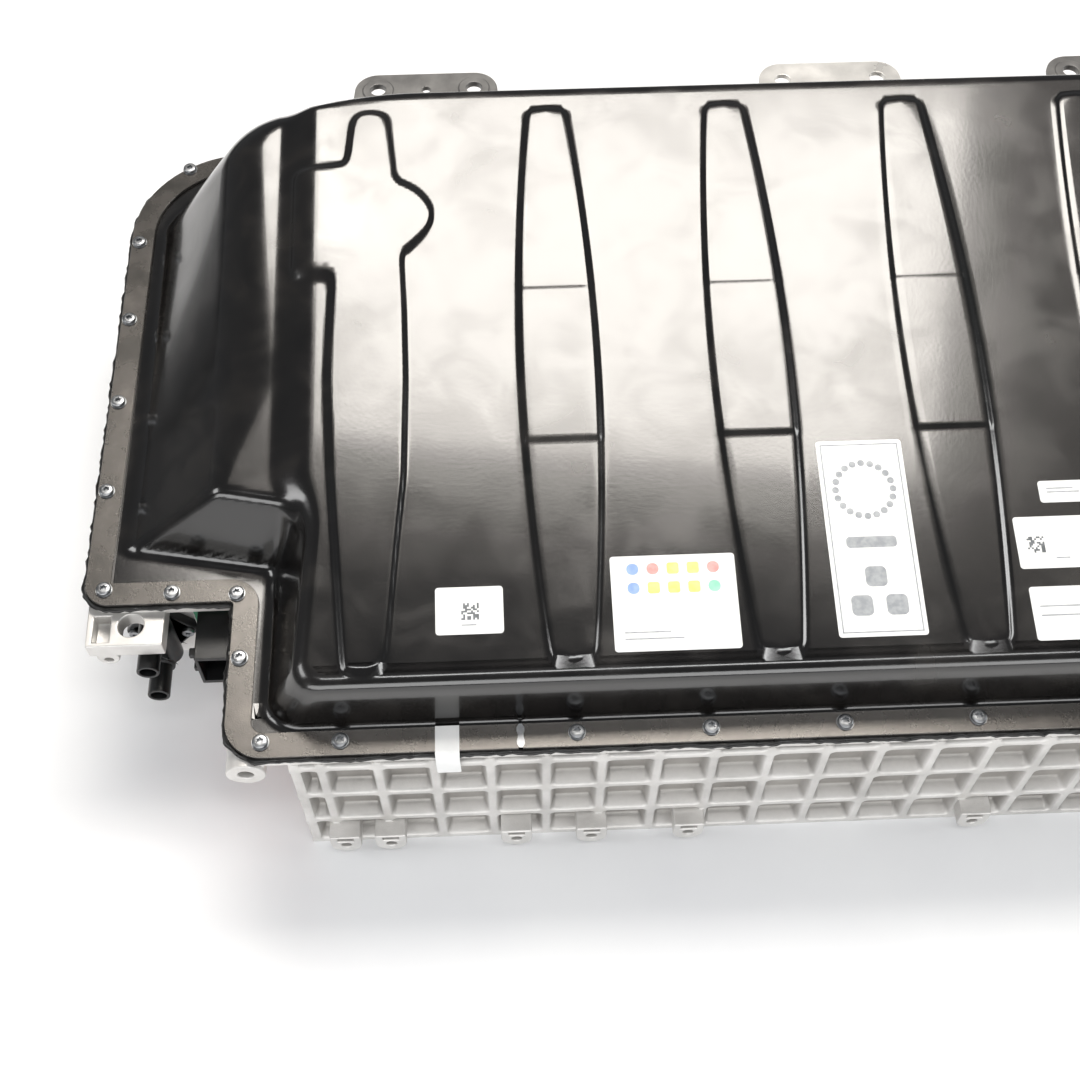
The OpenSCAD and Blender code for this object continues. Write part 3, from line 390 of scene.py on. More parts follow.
bpy.ops.object.shade_smooth_by_angle(angle=math.radians(50))

# Deep-drawn steel, dipped and painted gloss black: wiped and fingered, so its shine is cloudy
gloss_black = new_material("gloss_black_paint_on_steel")
place = add(gloss_black, "ShaderNodeTexCoord").outputs["Object"]
cloud = add(gloss_black, "ShaderNodeTexNoise",
    {"Vector": place, "Scale": 9.0, "Detail": 4.0, "Roughness": 0.5, "Distortion": 0.5})
patch = add(gloss_black, "ShaderNodeTexNoise",
    {"Vector": place, "Scale": 22.0, "Detail": 2.0, "Roughness": 0.45, "Distortion": 0.8})
both = add(gloss_black, "ShaderNodeMath", {0: cloud.outputs[0], 1: patch.outputs[0]}, operation="MULTIPLY")
peel = add(gloss_black, "ShaderNodeTexNoise", {"Vector": place, "Scale": 340.0, "Detail": 2.0})
bump = add(gloss_black, "ShaderNodeBump", {"Height": peel.outputs[0], "Strength": 0.06, "Distance": 0.0006})
shade(gloss_black,
    Base_Color=ramp(gloss_black, both.outputs[0], [(0.16, "#080707"), (0.3, "#0e0c0b"), (0.42, "#171411")]),
    Roughness=ramp(gloss_black, both.outputs[0], [(0.10, 0.14), (0.24, 0.19), (0.34, 0.25), (0.5, 0.31)]),
    Normal=bump.outputs[0], IOR=1.62, Coat_Weight=0.5, Coat_Roughness=0.08)
cover.data.materials.append(gloss_black)
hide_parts("cover")
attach(cover, "cover_body")

# ----------------------------------------
# The clamping strips. Four lengths of flat steel bar bent round the corners of
# the cover's flange, dull grey-black, with their edges broken and a gap at each joint.
# ----------------------------------------
strip_lo, strip_hi = (np.array(corner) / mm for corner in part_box("strip_front"))
rim_left, rim_right = left - rim_margin, right + rim_margin
rim_front, rim_back = front - rim_margin, back + rim_margin


def rim_path(d, step=5.0):
    """Points round the rim, d in from its edge, from the connector corner's end anticlockwise."""
    def arc(cx, cy, r, start, end):
        n = max(2, int(abs(end - start) / 5))
        angles = np.radians(np.linspace(start, end, n))
        return [(cx + r * math.cos(a), cy + r * math.sin(a)) for a in angles]
    r = [max(20 - d, 3), 4 + d, max(30 - d, 6), 40 - d, 60 - d, 99 - d]
    nx, ny = notch_x - 1 + d, notch_y - 1 + d
    corners = arc(rim_left + d + r[0], ny + r[0], r[0], 180, 270)
    corners += arc(nx - r[1], ny - r[1], r[1], 90, 0)
    corners += arc(nx + r[2], rim_front + d + r[2], r[2], 180, 270)
    corners += arc(rim_right - d - r[3], rim_front + d + r[3], r[3], 270, 360)
    corners += arc(rim_right - d - r[4], rim_back - d - r[4], r[4], 0, 90)
    corners += arc(rim_left + d + r[5], rim_back - d - r[5], r[5], 90, 180)
    out = []
    for (ax, ay), (bx, by) in zip(corners, corners[1:] + corners[:1]):
        n = max(1, int(math.hypot(bx - ax, by - ay) / step))
        out += [(ax + (bx - ax) * k / n, ay + (by - ay) * k / n) for k in range(n)]
    return out


def swept(name, path, z, profile, closed=False):
    """A bar of that profile, (across, up) in millimetres, along a level path."""
    bpy.ops.object.select_all(action="DESELECT")
    shapes = []
    for shape_name, points, loop in ((name + "_profile", profile, True), (name, path, closed)):
        curve = bpy.data.curves.new(shape_name, "CURVE")
        curve.dimensions = "2D"
        line = curve.splines.new("POLY")
        line.points.add(len(points) - 1)
        for point, (x, y) in zip(line.points, points):
            point.co = (x * mm, y * mm, 0, 1)
        line.use_cyclic_u = loop
        made = bpy.data.objects.new(shape_name, curve)
        scene.collection.objects.link(made)
        shapes.append(made)
    section, bar = shapes
    bar.data.fill_mode = "NONE"
    bar.data.bevel_mode = "OBJECT"
    bar.data.bevel_object = section
    bar.data.use_fill_caps = True
    bar.select_set(True)
    bpy.context.view_layer.objects.active = bar
    bpy.ops.object.convert(target="MESH")
    bpy.data.objects.remove(section)
    bar.data.transform(Matrix.Translation((0, 0, z * mm)))
    bpy.ops.object.mode_set(mode="EDIT")
    bpy.ops.mesh.select_all(action="SELECT")
    bpy.ops.mesh.remove_doubles(threshold=0.00001)
    bpy.ops.mesh.normals_make_consistent(inside=False)
    bpy.ops.object.mode_set(mode="OBJECT")
    return bar


def finish_piece(piece, material, body, nodes=(), round_edges=0.0, smooth=40):
    """Rounds a piece's sharp edges, smooths it, paints it and says what it is."""
    bpy.ops.object.select_all(action="DESELECT")
    piece.select_set(True)
    bpy.context.view_layer.objects.active = piece
    if round_edges:
        edges = piece.modifiers.new("edges", "BEVEL")
        edges.width = round_edges * mm
        edges.segments = 2
        edges.limit_method = "ANGLE"
        edges.angle_limit = math.radians(35)
        edges.use_clamp_overlap = False
        bpy.ops.object.modifier_apply(modifier="edges")
    bpy.ops.object.shade_smooth_by_angle(angle=math.radians(smooth))
    if round_edges:
        # the flats stay flat to the eye, and only the rounded edges turn
        flats = piece.modifiers.new("flats", "WEIGHTED_NORMAL")
        flats.keep_sharp = True
        bpy.ops.object.modifier_apply(modifier="flats")
    piece.data.materials.clear()
    piece.data.materials.append(material)
    if nodes:
        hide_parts(*nodes)
    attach(piece, body)
    return piece


# Rolled flat bar, phosphated and thinly painted: even dark grey with a low sheen, dusty in patches
strip_paint = new_material("phosphated_steel_bar")
place = add(strip_paint, "ShaderNodeTexCoord").outputs["Object"]
dust = add(strip_paint, "ShaderNodeTexNoise", {"Vector": place, "Scale": 34.0, "Detail": 5.0, "Roughness": 0.6})
grain = add(strip_paint, "ShaderNodeTexNoise", {"Vector": place, "Scale": 900.0, "Detail": 2.0})
bump = add(strip_paint, "ShaderNodeBump", {"Height": grain.outputs[0], "Strength": 0.25, "Distance": 0.0003})
shade(strip_paint, Metallic=0.75, Normal=bump.outputs[0], IOR=1.5,
    Base_Color=ramp(strip_paint, dust.outputs[0], [(0.35, "#53514e"), (0.6, "#5e5b58"), (0.75, "#6b6763")]),
    Roughness=ramp(strip_paint, dust.outputs[0], [(0.35, 0.24), (0.7, 0.32)]))

strip_thick = strip_hi[2] - strip_lo[2]
half = 10                               # half the bar's width
bar_profile = [(-half, 0.3), (-half + 0.3, 0), (half - 0.3, 0), (half, 0.3),
    (half, strip_thick - 0.4), (half - 0.4, strip_thick), (-half + 0.4, strip_thick), (-half, strip_thick - 0.4)]
ring = rim_path(half)
joint_left, joint_right = strip_lo[0], strip_hi[0]
start = next(k for k, (x, y) in enumerate(ring) if y < front + 20 and x > joint_left)
ring = ring[start:] + ring[:start]


def stretch(start, end, test):
    """The points of the ring that pass a test, between two ends."""
    return [start] + [p for p in ring if test(*p)] + [end]


y_front, y_back, gap = rim_front + half, rim_back - half, 3
runs = {
    "strip_front": stretch((joint_left, y_front), (joint_right, y_front),
        lambda x, y: y < y_front + 0.01 and joint_left < x < joint_right),
    "strip_right": stretch((joint_right + gap, y_front), (joint_right + gap, y_back),
        lambda x, y: x > joint_right + gap),
    "strip_back": stretch((joint_right, y_back), (joint_left, y_back),
        lambda x, y: y > y_back - 0.01 and joint_left < x < joint_right),
    "strip_left": stretch((joint_left - gap, y_back), (joint_left - gap, y_front),
        lambda x, y: x < joint_left - gap),
}
for node, run in runs.items():
    bar = swept(node + "_bar", run, strip_lo[2], bar_profile)
    finish_piece(bar, strip_paint, "cover_body", [node], smooth=28)

# ----------------------------------------
# The sealing bead between tray and cover. Black polyurethane laid by a nozzle and
# squeezed out past the rim, so its edge wanders.
# ----------------------------------------
sealant_black = new_material("polyurethane_sealant")
place = add(sealant_black, "ShaderNodeTexCoord").outputs["Object"]
lumps = add(sealant_black, "ShaderNodeTexNoise", {"Vector": place, "Scale": 220.0, "Detail": 3.0})
bump = add(sealant_black, "ShaderNodeBump", {"Height": lumps.outputs[0], "Strength": 0.5, "Distance": 0.0008})
shade(sealant_black, Normal=bump.outputs[0], IOR=1.5,
    Base_Color=ramp(sealant_black, lumps.outputs[0], [(0.3, "#0c0c0c"), (0.7, "#1a1918")]),
    Roughness=ramp(sealant_black, lumps.outputs[0], [(0.3, 0.25), (0.7, 0.45)]))

random.seed(4)
sealant_z, sealant_wide, sealant_high = 166.9, 3.0, 1.7
bead_profile = [(sealant_wide * math.cos(a) - 0.6, sealant_high * math.sin(a))
    for a in np.linspace(0, 2 * math.pi, 9)[:-1]]
sealant = swept("sealant", rim_path(0.4, 4.0), sealant_z, bead_profile, closed=True)
# ten waves of different lengths make the squeezed edge wander
pairs = [(random.uniform(0.004, 0.02), random.uniform(0, 6.28)) for _ in range(10)]
waves = list(zip([0.06, 0.11, 0.17, 0.31, 0.47, 0.08, 0.23, 0.7, 0.9, 1.3], [phase for _, phase in pairs]))
for v in sealant.data.vertices:
    x, y = v.co.x / mm, v.co.y / mm
    t = sum(math.sin(wave * (x * 0.8 + y * 1.1) + phase) for wave, phase in waves) / 4
    out = flange_edge(np.array(x), np.array(y))
    if out > -1.5:
        out_x = float(flange_edge(np.array(x + 0.1), np.array(y)) - out) / 0.1
        out_y = float(flange_edge(np.array(x), np.array(y + 0.1)) - out) / 0.1
        v.co.x += out_x * max(-0.8, t * 1.1) * mm
        v.co.y += out_y * max(-0.8, t * 1.1) * mm
    swell = 0.75 + 0.35 * (1 + 0.55 * t)
    v.co.z = (sealant_z + (v.co.z / mm - sealant_z) * swell) * mm
finish_piece(sealant, sealant_black, "tray_body", ["cover_seal"], smooth=80)

# ----------------------------------------
# The cover screws. M6 pan heads with a six-lobe socket, zinc plated, each on a
# thin pressed collar.
# ----------------------------------------


def solids(node):
    """The separate solids of a CAD piece, as (lowest corner, highest corner) in millimetres."""
    copy = bmesh.new()
    copy.from_mesh(frame["nodes"][node].data)
    bmesh.ops.remove_doubles(copy, verts=copy.verts, dist=0.00001)
    found, seen = [], set()
    for seed in copy.verts:
        if seed.index in seen:
            continue
        seen.add(seed.index)
        stack, points = [seed], []
        while stack:
            v = stack.pop()
            points.append(tuple(v.co))
            for e in v.link_edges:
                o = e.other_vert(v)
                if o.index not in seen:
                    seen.add(o.index)
                    stack.append(o)
        points = np.array(points) / mm
        found.append((points.min(0), points.max(0)))
    copy.free()
    return found


def pick(piece, test):
    """In edit mode, selects the faces that pass a test on their centre (mm) and normal."""
    bpy.ops.object.mode_set(mode="EDIT")
    bpy.ops.mesh.select_mode(type="FACE")
    bpy.ops.mesh.select_all(action="DESELECT")
    bpy.ops.object.mode_set(mode="OBJECT")
    for face in piece.data.polygons:
        face.select = bool(test(face.center / mm, face.normal))
    bpy.ops.object.mode_set(mode="EDIT")


def bright_metal(name, dark, light, low, high, size, depth, metallic=1.0):
    """A metal whose colour and shine wander over patches of that size in millimetres."""
    material = new_material(name)
    place = add(material, "ShaderNodeTexCoord").outputs["Object"]
    patches = add(material, "ShaderNodeTexNoise",
        {"Vector": place, "Scale": 1000 / size, "Detail": 5.0, "Roughness": 0.6})
    grain = add(material, "ShaderNodeTexNoise", {"Vector": place, "Scale": 1300.0, "Detail": 2.0})
    bump = add(material, "ShaderNodeBump", {"Height": grain.outputs[0], "Strength": 0.3, "Distance": depth * mm})
    return shade(material, Metallic=metallic, Normal=bump.outputs[0],
        Base_Color=ramp(material, patches.outputs[0], [(0.3, dark), (0.7, light)]),
        Roughness=ramp(material, patches.outputs[0], [(0.3, low), (0.7, high)]))


# Zinc plate, passivated: bright blue-grey steel with a soft shine
zinc = bright_metal("zinc_plated_steel", "#85878a", "#aeb0b2", 0.26, 0.4, 6, 0.15)


def pan_screw():
    bpy.ops.object.select_all(action="DESELECT")
    bpy.ops.mesh.primitive_cylinder_add(vertices=36, radius=6.6 * mm, depth=0.8 * mm, location=(0, 0, 0.4 * mm))
    head = bpy.context.object
    bpy.ops.object.transform_apply(location=True, rotation=False, scale=False)
    pick(head, lambda c, n: n.z > 0.9)
    bpy.ops.mesh.inset(thickness=0.75 * mm)
    bpy.ops.mesh.extrude_region_move(TRANSFORM_OT_translate={"value": (0, 0, 2.1 * mm)})
    for rise, narrow in ((0.65, 0.94), (0.35, 0.86)):
        bpy.ops.mesh.extrude_region_move(TRANSFORM_OT_translate={"value": (0, 0, rise * mm)})
        bpy.ops.transform.resize(value=(narrow, narrow, 1))
    bpy.ops.mesh.inset(thickness=1.9 * mm)
    bpy.ops.object.mode_set(mode="OBJECT")
    for v in head.data.vertices:
        r = math.hypot(v.co.x, v.co.y)
        if v.co.z > 3.8 * mm and r < 3.4 * mm:
            lobed = (2.55 + 0.5 * math.cos(6 * math.atan2(v.co.y, v.co.x))) * mm
            v.co.x *= lobed / r
            v.co.y *= lobed / r
    pick(head, lambda c, n: n.z > 0.9 and math.hypot(c.x, c.y) < 0.5)
    bpy.ops.mesh.extrude_region_move(TRANSFORM_OT_translate={"value": (0, 0, -2.4 * mm)})
    bpy.ops.mesh.inset(thickness=0.4 * mm)
    bpy.ops.object.mode_set(mode="OBJECT")
    return head


pattern = pan_screw()
heads = []                              # one at each place, each turned by chance
random.seed(11)
for low, high in solids("cover_screws"):
    copy = pattern.copy()
    copy.data = pattern.data.copy()
    scene.collection.objects.link(copy)
    middle = (low + high) / 2
    copy.location = (middle[0] * mm, middle[1] * mm, (high[2] - 4) * mm)
    copy.rotation_euler[2] = random.uniform(0, 1)
    heads.append(copy)
bpy.data.objects.remove(pattern)
bpy.ops.object.select_all(action="DESELECT")
for head in heads:
    head.select_set(True)
bpy.context.view_layer.objects.active = heads[0]
bpy.ops.object.join()
bpy.ops.object.transform_apply(location=True, rotation=True, scale=True)
cover_screws = bpy.context.object
cover_screws.name = "pan_screws"
finish_piece(cover_screws, zinc, "cover_body", ["cover_screws"], smooth=38)

# ----------------------------------------
# The joint clips. A small waisted clip of zinc-plated spring steel bridges each
# joint between two strips, and holds their ends level.
# ----------------------------------------
clip_places = [(x, y) for x, y in ((joint_left - gap / 2, y_front), (joint_right + gap / 2, y_front),
    (joint_right + gap / 2, y_back), (joint_left - gap / 2, y_back))]
for k, (x, y) in enumerate(clip_places):
    bpy.ops.object.select_all(action="DESELECT")
    bpy.ops.mesh.primitive_cube_add(size=1, location=(x * mm, y * mm, (strip_hi[2] + 0.1) * mm))
    clip = bpy.context.object
    clip.name = f"joint_clip_{k + 1}"
    clip.scale = (5.6 * mm, 19 * mm, 0.8 * mm)
    bpy.ops.object.transform_apply(location=True, rotation=False, scale=True)
    bpy.ops.object.mode_set(mode="EDIT")
    bpy.ops.mesh.select_all(action="SELECT")
    bpy.ops.mesh.subdivide(number_cuts=6)
    bpy.ops.object.mode_set(mode="OBJECT")
    for v in clip.data.vertices:
        along = (v.co.y / mm - y) / 9.5
        waist = 1 - 0.45 * math.exp(-(along * 5) ** 2)
        round_end = math.sqrt(max(1.16 - along ** 6, 0.1))
        v.co.x = (x + (v.co.x / mm - x) * waist * round_end) * mm
    finish_piece(clip, zinc, "cover_body", smooth=50)

# ----------------------------------------
# The tray. One high-pressure die casting in aluminium, with drafted ribs and
# rounded pockets on its walls; only the rim and the lugs' faces are machined.
# ----------------------------------------


def softened(node, name, edge, material, body):
    """A copy of a CAD piece with its facets joined and its sharp edges rounded."""
    piece = bpy.data.objects.new(name, frame["nodes"][node].data.copy())
    scene.collection.objects.link(piece)
    bpy.ops.object.select_all(action="DESELECT")
    piece.select_set(True)
    bpy.context.view_layer.objects.active = piece
    bpy.ops.object.mode_set(mode="EDIT")
    bpy.ops.mesh.select_all(action="SELECT")
    bpy.ops.mesh.remove_doubles(threshold=0.00001)
    bpy.ops.mesh.dissolve_limited(angle_limit=math.radians(1.0))
    bpy.ops.object.mode_set(mode="OBJECT")
    return finish_piece(piece, material, body, [node], edge)


# Die-cast aluminium, shot blasted: matt light grey, slightly mottled, with a fine
# sandy tooth; painted shade makes it darker deep in the pockets, mixed in by the walls' pocket-depth attribute
cast = new_material("die_cast_aluminium")
place = add(cast, "ShaderNodeTexCoord").outputs["Object"]
flow = add(cast, "ShaderNodeTexNoise", {"Vector": place, "Scale": 22.0, "Detail": 6.0, "Roughness": 0.62})
sand = add(cast, "ShaderNodeTexNoise", {"Vector": place, "Scale": 750.0, "Detail": 3.0})
bump = add(cast, "ShaderNodeBump", {"Height": sand.outputs[0], "Strength": 0.45, "Distance": 0.0004})
# painted shade: the lighter tone A on the ribs and the darker tone B deep in the pockets, mixed by pocket depth
depth_of = add(cast, "ShaderNodeAttribute", attribute_name="painted_pocket_shade").outputs["Fac"]
pocket_shaded = add(cast, "ShaderNodeMix", {"Factor": depth_of,
    "A": ramp(cast, flow.outputs[0], [(0.3, "#bfbdba"), (0.5, "#d0cecb"), (0.72, "#dfdddb")]),
    "B": ramp(cast, flow.outputs[0], [(0.3, "#8d8a86"), (0.72, "#aaa7a3")])}, data_type="RGBA")
shade(cast, Metallic=0.6, Normal=bump.outputs[0],
    Base_Color=next(out for out in pocket_shaded.outputs if out.enabled),
    Roughness=ramp(cast, flow.outputs[0], [(0.3, 0.42), (0.7, 0.6)]))
tray = softened("tray", "cast_tray", 1.3, cast, "tray_body")

# The mounting lugs' faces are milled: bright, nearly white metal with a fine even sheen
milled = bright_metal("milled_aluminium", "#c3c1be", "#d8d6d3", 0.3, 0.42, 25, 0.1, metallic=0.5)
tray.data.materials.append(milled)
for face in tray.data.polygons:
    c, n = face.center / mm, face.normal
    on_end_lug = c.x < left + 63 and c.y < notch_y - 2 and c.z > 118
    on_front_lug = c.y < front - 1.5 and c.z < 60 and (n.y < -0.7 or n.z > 0.7)
    if on_end_lug or on_front_lug:
        face.material_index = 1


rib_depth, rib_top = 12.4, 155.5
rib_lines_up = [2.5, 46, 96, 146]       # heights of the level ribs' middles


def turn_outward():
    """Makes the active piece's normals point outward."""
    bpy.ops.object.mode_set(mode="EDIT")
    bpy.ops.mesh.select_all(action="SELECT")
    bpy.ops.mesh.normals_make_consistent(inside=False)
    bpy.ops.object.mode_set(mode="OBJECT")


def waffle(name, width, lines_u, to_place):
    """A wall of drafted pockets: u along it, v up. Lines are the middles of its ribs."""
    def places(lines, high):
        out = [0, high]
        for line in lines:
            out += [line + side * d for d in (0, 2.3, 3.1, 4.2, 5.6, 7.0, 8.6, 12) for side in (1, -1)]
        return np.unique(np.round([q for q in out if 0 <= q <= high], 2))
    us, vs = places(lines_u, width), places(rib_lines_up, rib_top)
    bpy.ops.object.select_all(action="DESELECT")
    bpy.ops.mesh.primitive_grid_add(x_subdivisions=len(us) - 1, y_subdivisions=len(vs) - 1, size=1)
    panel = bpy.context.object
    panel.name = name
    gu, gv = np.meshgrid(us, vs)
    du = np.abs(gu[..., None] - np.array(lines_u)).min(-1)
    dv = np.abs(gv[..., None] - np.array(rib_lines_up)).min(-1)
    land, corner, draft = 2.5, 5, 5.2   # half a rib's flat, the pocket's corner, the run of its sloping side
    inside = -rounded(-(du - land), -(dv - land), corner)
    sunk = rib_depth * ease(inside / draft)
    x, y, z = to_place(gu, gv, sunk)
    panel.data.vertices.foreach_set("co", (np.stack([x, y, z], -1) * mm).ravel())
    # each point's pocket depth, which the cast material uses to paint shade into the pockets
    painted_pocket_shade = panel.data.attributes.new("painted_pocket_shade", "FLOAT", "POINT")
    painted_pocket_shade.data.foreach_set("value", (sunk / rib_depth).ravel())
    panel.data.update()
    # its closed back is a flat plane behind the deepest pocket, inside the tray's wall
    bpy.ops.object.mode_set(mode="EDIT")
    bpy.ops.mesh.select_all(action="SELECT")
    bpy.ops.mesh.extrude_region_move()
    bpy.ops.object.mode_set(mode="OBJECT")
    zero = np.zeros(1)
    face_x = to_place(zero, zero, zero)[0][0]
    back_x, back_y, _ = to_place(zero, zero, zero + rib_depth + 2.0)
    axis, level = (1, back_y[0]) if abs(face_x - back_x[0]) < 0.01 else (0, back_x[0])
    for v in panel.data.vertices:
        if v.select:
            v.co[axis] = level * mm
    turn_outward()
    return finish_piece(panel, cast, "tray_body", smooth=50)


wall_inset, rib_pitch, proud, foot = 13, 42.5, 0.25, 0.2      # ribs stand proud of the CAD's, off the floor
wall_left, wall_right = rim_left + 117.5 + 46, rim_right - wall_inset
wall_width = wall_right - wall_left
ribs_from = wall_left + 66
ribs_n = int((wall_right - ribs_from) // rib_pitch)
upright = [wall_left + 4] + [ribs_from + k * rib_pitch for k in range(-1, ribs_n + 1)] + [wall_right - 1]
wall_lines = [u - wall_left for u in upright]
waffle("front_ribs", wall_width, wall_lines,
    lambda u, v, d: (wall_left + u, rim_front + d - proud, v + foot))
waffle("back_ribs", wall_width, wall_lines,
    lambda u, v, d: (wall_left + u, -(rim_front + d - proud), v + foot))
side_first, side_last = rim_front + wall_inset, rim_back - wall_inset
side_width = side_last - side_first
side_m = int((side_width - 20) // (2 * rib_pitch))
side_lines = [1] + [k * rib_pitch - side_first for k in range(-side_m, side_m + 1)] + [side_width - 1]
waffle("end_ribs", side_width, side_lines,
    lambda u, v, d: (rim_right - d + proud, side_first + u, v + foot))

# ----------------------------------------
# The labels on the cover. Plain white film, each left blank but for generic
# blocks of colour and grey, stuck to the flat of the top.
# ----------------------------------------

# Printed vinyl film: clean white with a satin shine
film = new_material("white_vinyl_film")
place = add(film, "ShaderNodeTexCoord").outputs["Object"]
mottle = add(film, "ShaderNodeTexNoise", {"Vector": place, "Scale": 45.0, "Detail": 3.0})
shade(film, Base_Color=ramp(film, mottle.outputs[0], [(0.3, "#dcdddc"), (0.7, "#e9e9e8")]),
    Roughness=ramp(film, mottle.outputs[0], [(0.3, 0.32), (0.7, 0.42)]), IOR=1.5)


def print_ink(name, colour, paler):
    """Screen-printed ink, a little uneven."""
    material = new_material(name)
    place = add(material, "ShaderNodeTexCoord").outputs["Object"]
    uneven = add(material, "ShaderNodeTexNoise", {"Vector": place, "Scale": 180.0, "Detail": 2.0})
    return shade(material, Roughness=0.4, IOR=1.5,
        Base_Color=ramp(material, uneven.outputs[0], [(0.35, colour), (0.65, paler)]))


inks = {colour: print_ink(colour + "_ink", *tones) for colour, tones in {
    "grey": ("#8b8f93", "#a3a6a9"), "blue": ("#7e9cd0", "#93addb"), "red": ("#dd8f8a", "#e4a29d"),
    "yellow": ("#d9cf6e", "#e3da86"), "green": ("#86cfae", "#9ad9bb"), "dark": ("#565a5d", "#6a6e71")}.items()}


def patch_on_cover(name, x0, y0, x1, y1, corner, lift, thick, material):
    """A thin rounded patch lying on the cover's sloping top."""
    bpy.ops.object.select_all(action="DESELECT")
    bpy.ops.mesh.primitive_plane_add(size=1, location=((x0 + x1) / 2 * mm, (y0 + y1) / 2 * mm, 0))
    patch = bpy.context.object
    patch.name = name
    patch.scale = ((x1 - x0) * mm, (y1 - y0) * mm, 1)
    bpy.ops.object.transform_apply(location=True, rotation=False, scale=True)
    bpy.ops.object.mode_set(mode="EDIT")
    bpy.ops.mesh.select_all(action="SELECT")
    bpy.ops.mesh.bevel(offset=corner * mm, segments=5, affect="VERTICES")
    bpy.ops.mesh.select_all(action="SELECT")
    bpy.ops.mesh.extrude_region_move(TRANSFORM_OT_translate={"value": (0, 0, thick * mm)})
    turn_outward()
    for v in patch.data.vertices:
        v.co.z += (top_z0 + top_rise * v.co.y / mm + lift) * mm
    patch.data.materials.append(material)
    return patch


def joined(name, parts):
    bpy.ops.object.select_all(action="DESELECT")
    for part in parts:
        part.select_set(True)
    bpy.context.view_layer.objects.active = parts[0]
    bpy.ops.object.join()
    parts[0].name = name
    return parts[0]


random.seed(21)
label_boxes = sorted(((low[0], low[1], high[0], high[1]) for low, high in solids("labels")),
    key=lambda box: (round(box[0] / 20), box[1]))
for k, (x0, y0, x1, y1) in enumerate(label_boxes):
    w, d = x1 - x0, y1 - y0
    parts = [patch_on_cover("film", x0, y0, x1, y1, 2.5, 0.05, 0.3, film)]

    def mark(u0, v0, u1, v1, corner, ink):
        parts.append(patch_on_cover("mark", x0 + u0, y0 + v0, x0 + u1, y0 + v1, corner, 0.33, 0.06, inks[ink]))

    def code(u0, v0, size, cells):
        step = size / cells
        for i in range(cells):
            for j in range(cells):
                if random.random() < 0.5:
                    mark(u0 + i * step, v0 + j * step, u0 + (i + 1) * step, v0 + (j + 1) * step, 0.05, "dark")

    if d > 120:        # the tall one: a thin border, a ring of dots over a bar over three blocks
        for corners in ((3, 3, 4, d - 3), (w - 4, 3, w - 3, d - 3), (3, 3, w - 3, 4), (3, d - 4, w - 3, d - 3)):
            mark(*corners, 0.3, "grey")
        for n in range(20):
            a = n * math.pi / 10
            cx, cy = w / 2 + 22 * math.cos(a), d * 0.74 + 22 * math.sin(a)
            mark(cx - 2.6, cy - 2.6, cx + 2.6, cy + 2.6, 2.4, "grey")
        mark(14, d * 0.44, w - 14, d * 0.44 + 9, 3, "grey")
        for n in range(3):
            a = math.radians(90 + 120 * n)
            cx, cy = w / 2 + 15 * math.cos(a), d * 0.2 + 15 * math.sin(a)
            mark(cx - 8, cy - 8, cx + 8, cy + 8, 4, "grey")
    elif w > 80:       # two rows of soft coloured spots
        for row, colours in enumerate((
                ("blue", "red", "yellow", "yellow", "red"),
                ("blue", "yellow", "yellow", "yellow", "green"))):
            for i, ink in enumerate(colours):
                u, v = 9 + i * (w - 18) / 5 + 3, d - 15 - row * 15
                mark(u, v, u + 9, v + 9, 4.2 if ink != "yellow" else 2, ink)
        mark(8, 9, w * 0.55, 10, 0.3, "grey")
        mark(8, 14, w * 0.45, 15, 0.3, "grey")
    elif k == 0 or (d > 35 and w > 50 and y0 > -215):      # a square block of random cells over a line
        code(w * 0.38 if k == 0 else 8, d * 0.3, 13, 9)
        mark(w * 0.38 if k == 0 else 28, d * 0.18, w * 0.6, d * 0.18 + 1, 0.3, "grey")
    else:
        mark(6, d * 0.45, w * 0.7, d * 0.45 + 1, 0.3, "grey")
        mark(6, d * 0.62, w * 0.6, d * 0.62 + 1, 0.3, "grey")
    label = joined(f"label_{k + 1}", parts)
    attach(label, "cover_body")
    if k == 0:
        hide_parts("labels")

# ----------------------------------------
# The wrapped label. A narrow strip of the same film, stuck over the clamping
# strip and folded down past the sealant onto the ribs.
# ----------------------------------------
wrap_lo, wrap_hi = (np.array(corner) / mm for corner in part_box("wrap_label"))
# (y from the rim's edge, z from the strip's top), from its inner end to its hanging end
fold = [(20.2, 0.25), (8, 0.25), (0, 0.2), (-1.6, -0.4), (-4.0, -2.6), (-4.6, -7), (-4.4, -11),
    (-3.4, -22), (-2.4, -34)]
across = [0, 0.6, 2, 3.2, 4.0, 6.2, 7.0, 9.2, 10.0, 12, 13.4, 14]
bpy.ops.object.select_all(action="DESELECT")
bpy.ops.mesh.primitive_grid_add(x_subdivisions=len(across) - 1, y_subdivisions=len(fold) - 1, size=1)
wrapped = bpy.context.object
wrapped.name = "wrapped_label"
spots = []
for k, (y, z) in enumerate(fold):
    for u in across:
        curl = 0.8 if u in (0, 14) and k == len(fold) - 1 else 0      # the hanging corners are rounded
        spots.append((wrap_lo[0] + u * (wrap_hi[0] - wrap_lo[0]) / 14, rim_front + y, strip_hi[2] + z + curl))
wrapped.data.vertices.foreach_set("co", (np.array(spots) * mm).ravel())
film_thickness = wrapped.modifiers.new("film", "SOLIDIFY")
film_thickness.thickness = 0.2 * mm
film_thickness.offset = 0
bpy.context.view_layer.objects.active = wrapped
bpy.ops.object.modifier_apply(modifier="film")
turn_outward()
finish_piece(wrapped, film, "cover_body", ["wrap_label"], smooth=60)

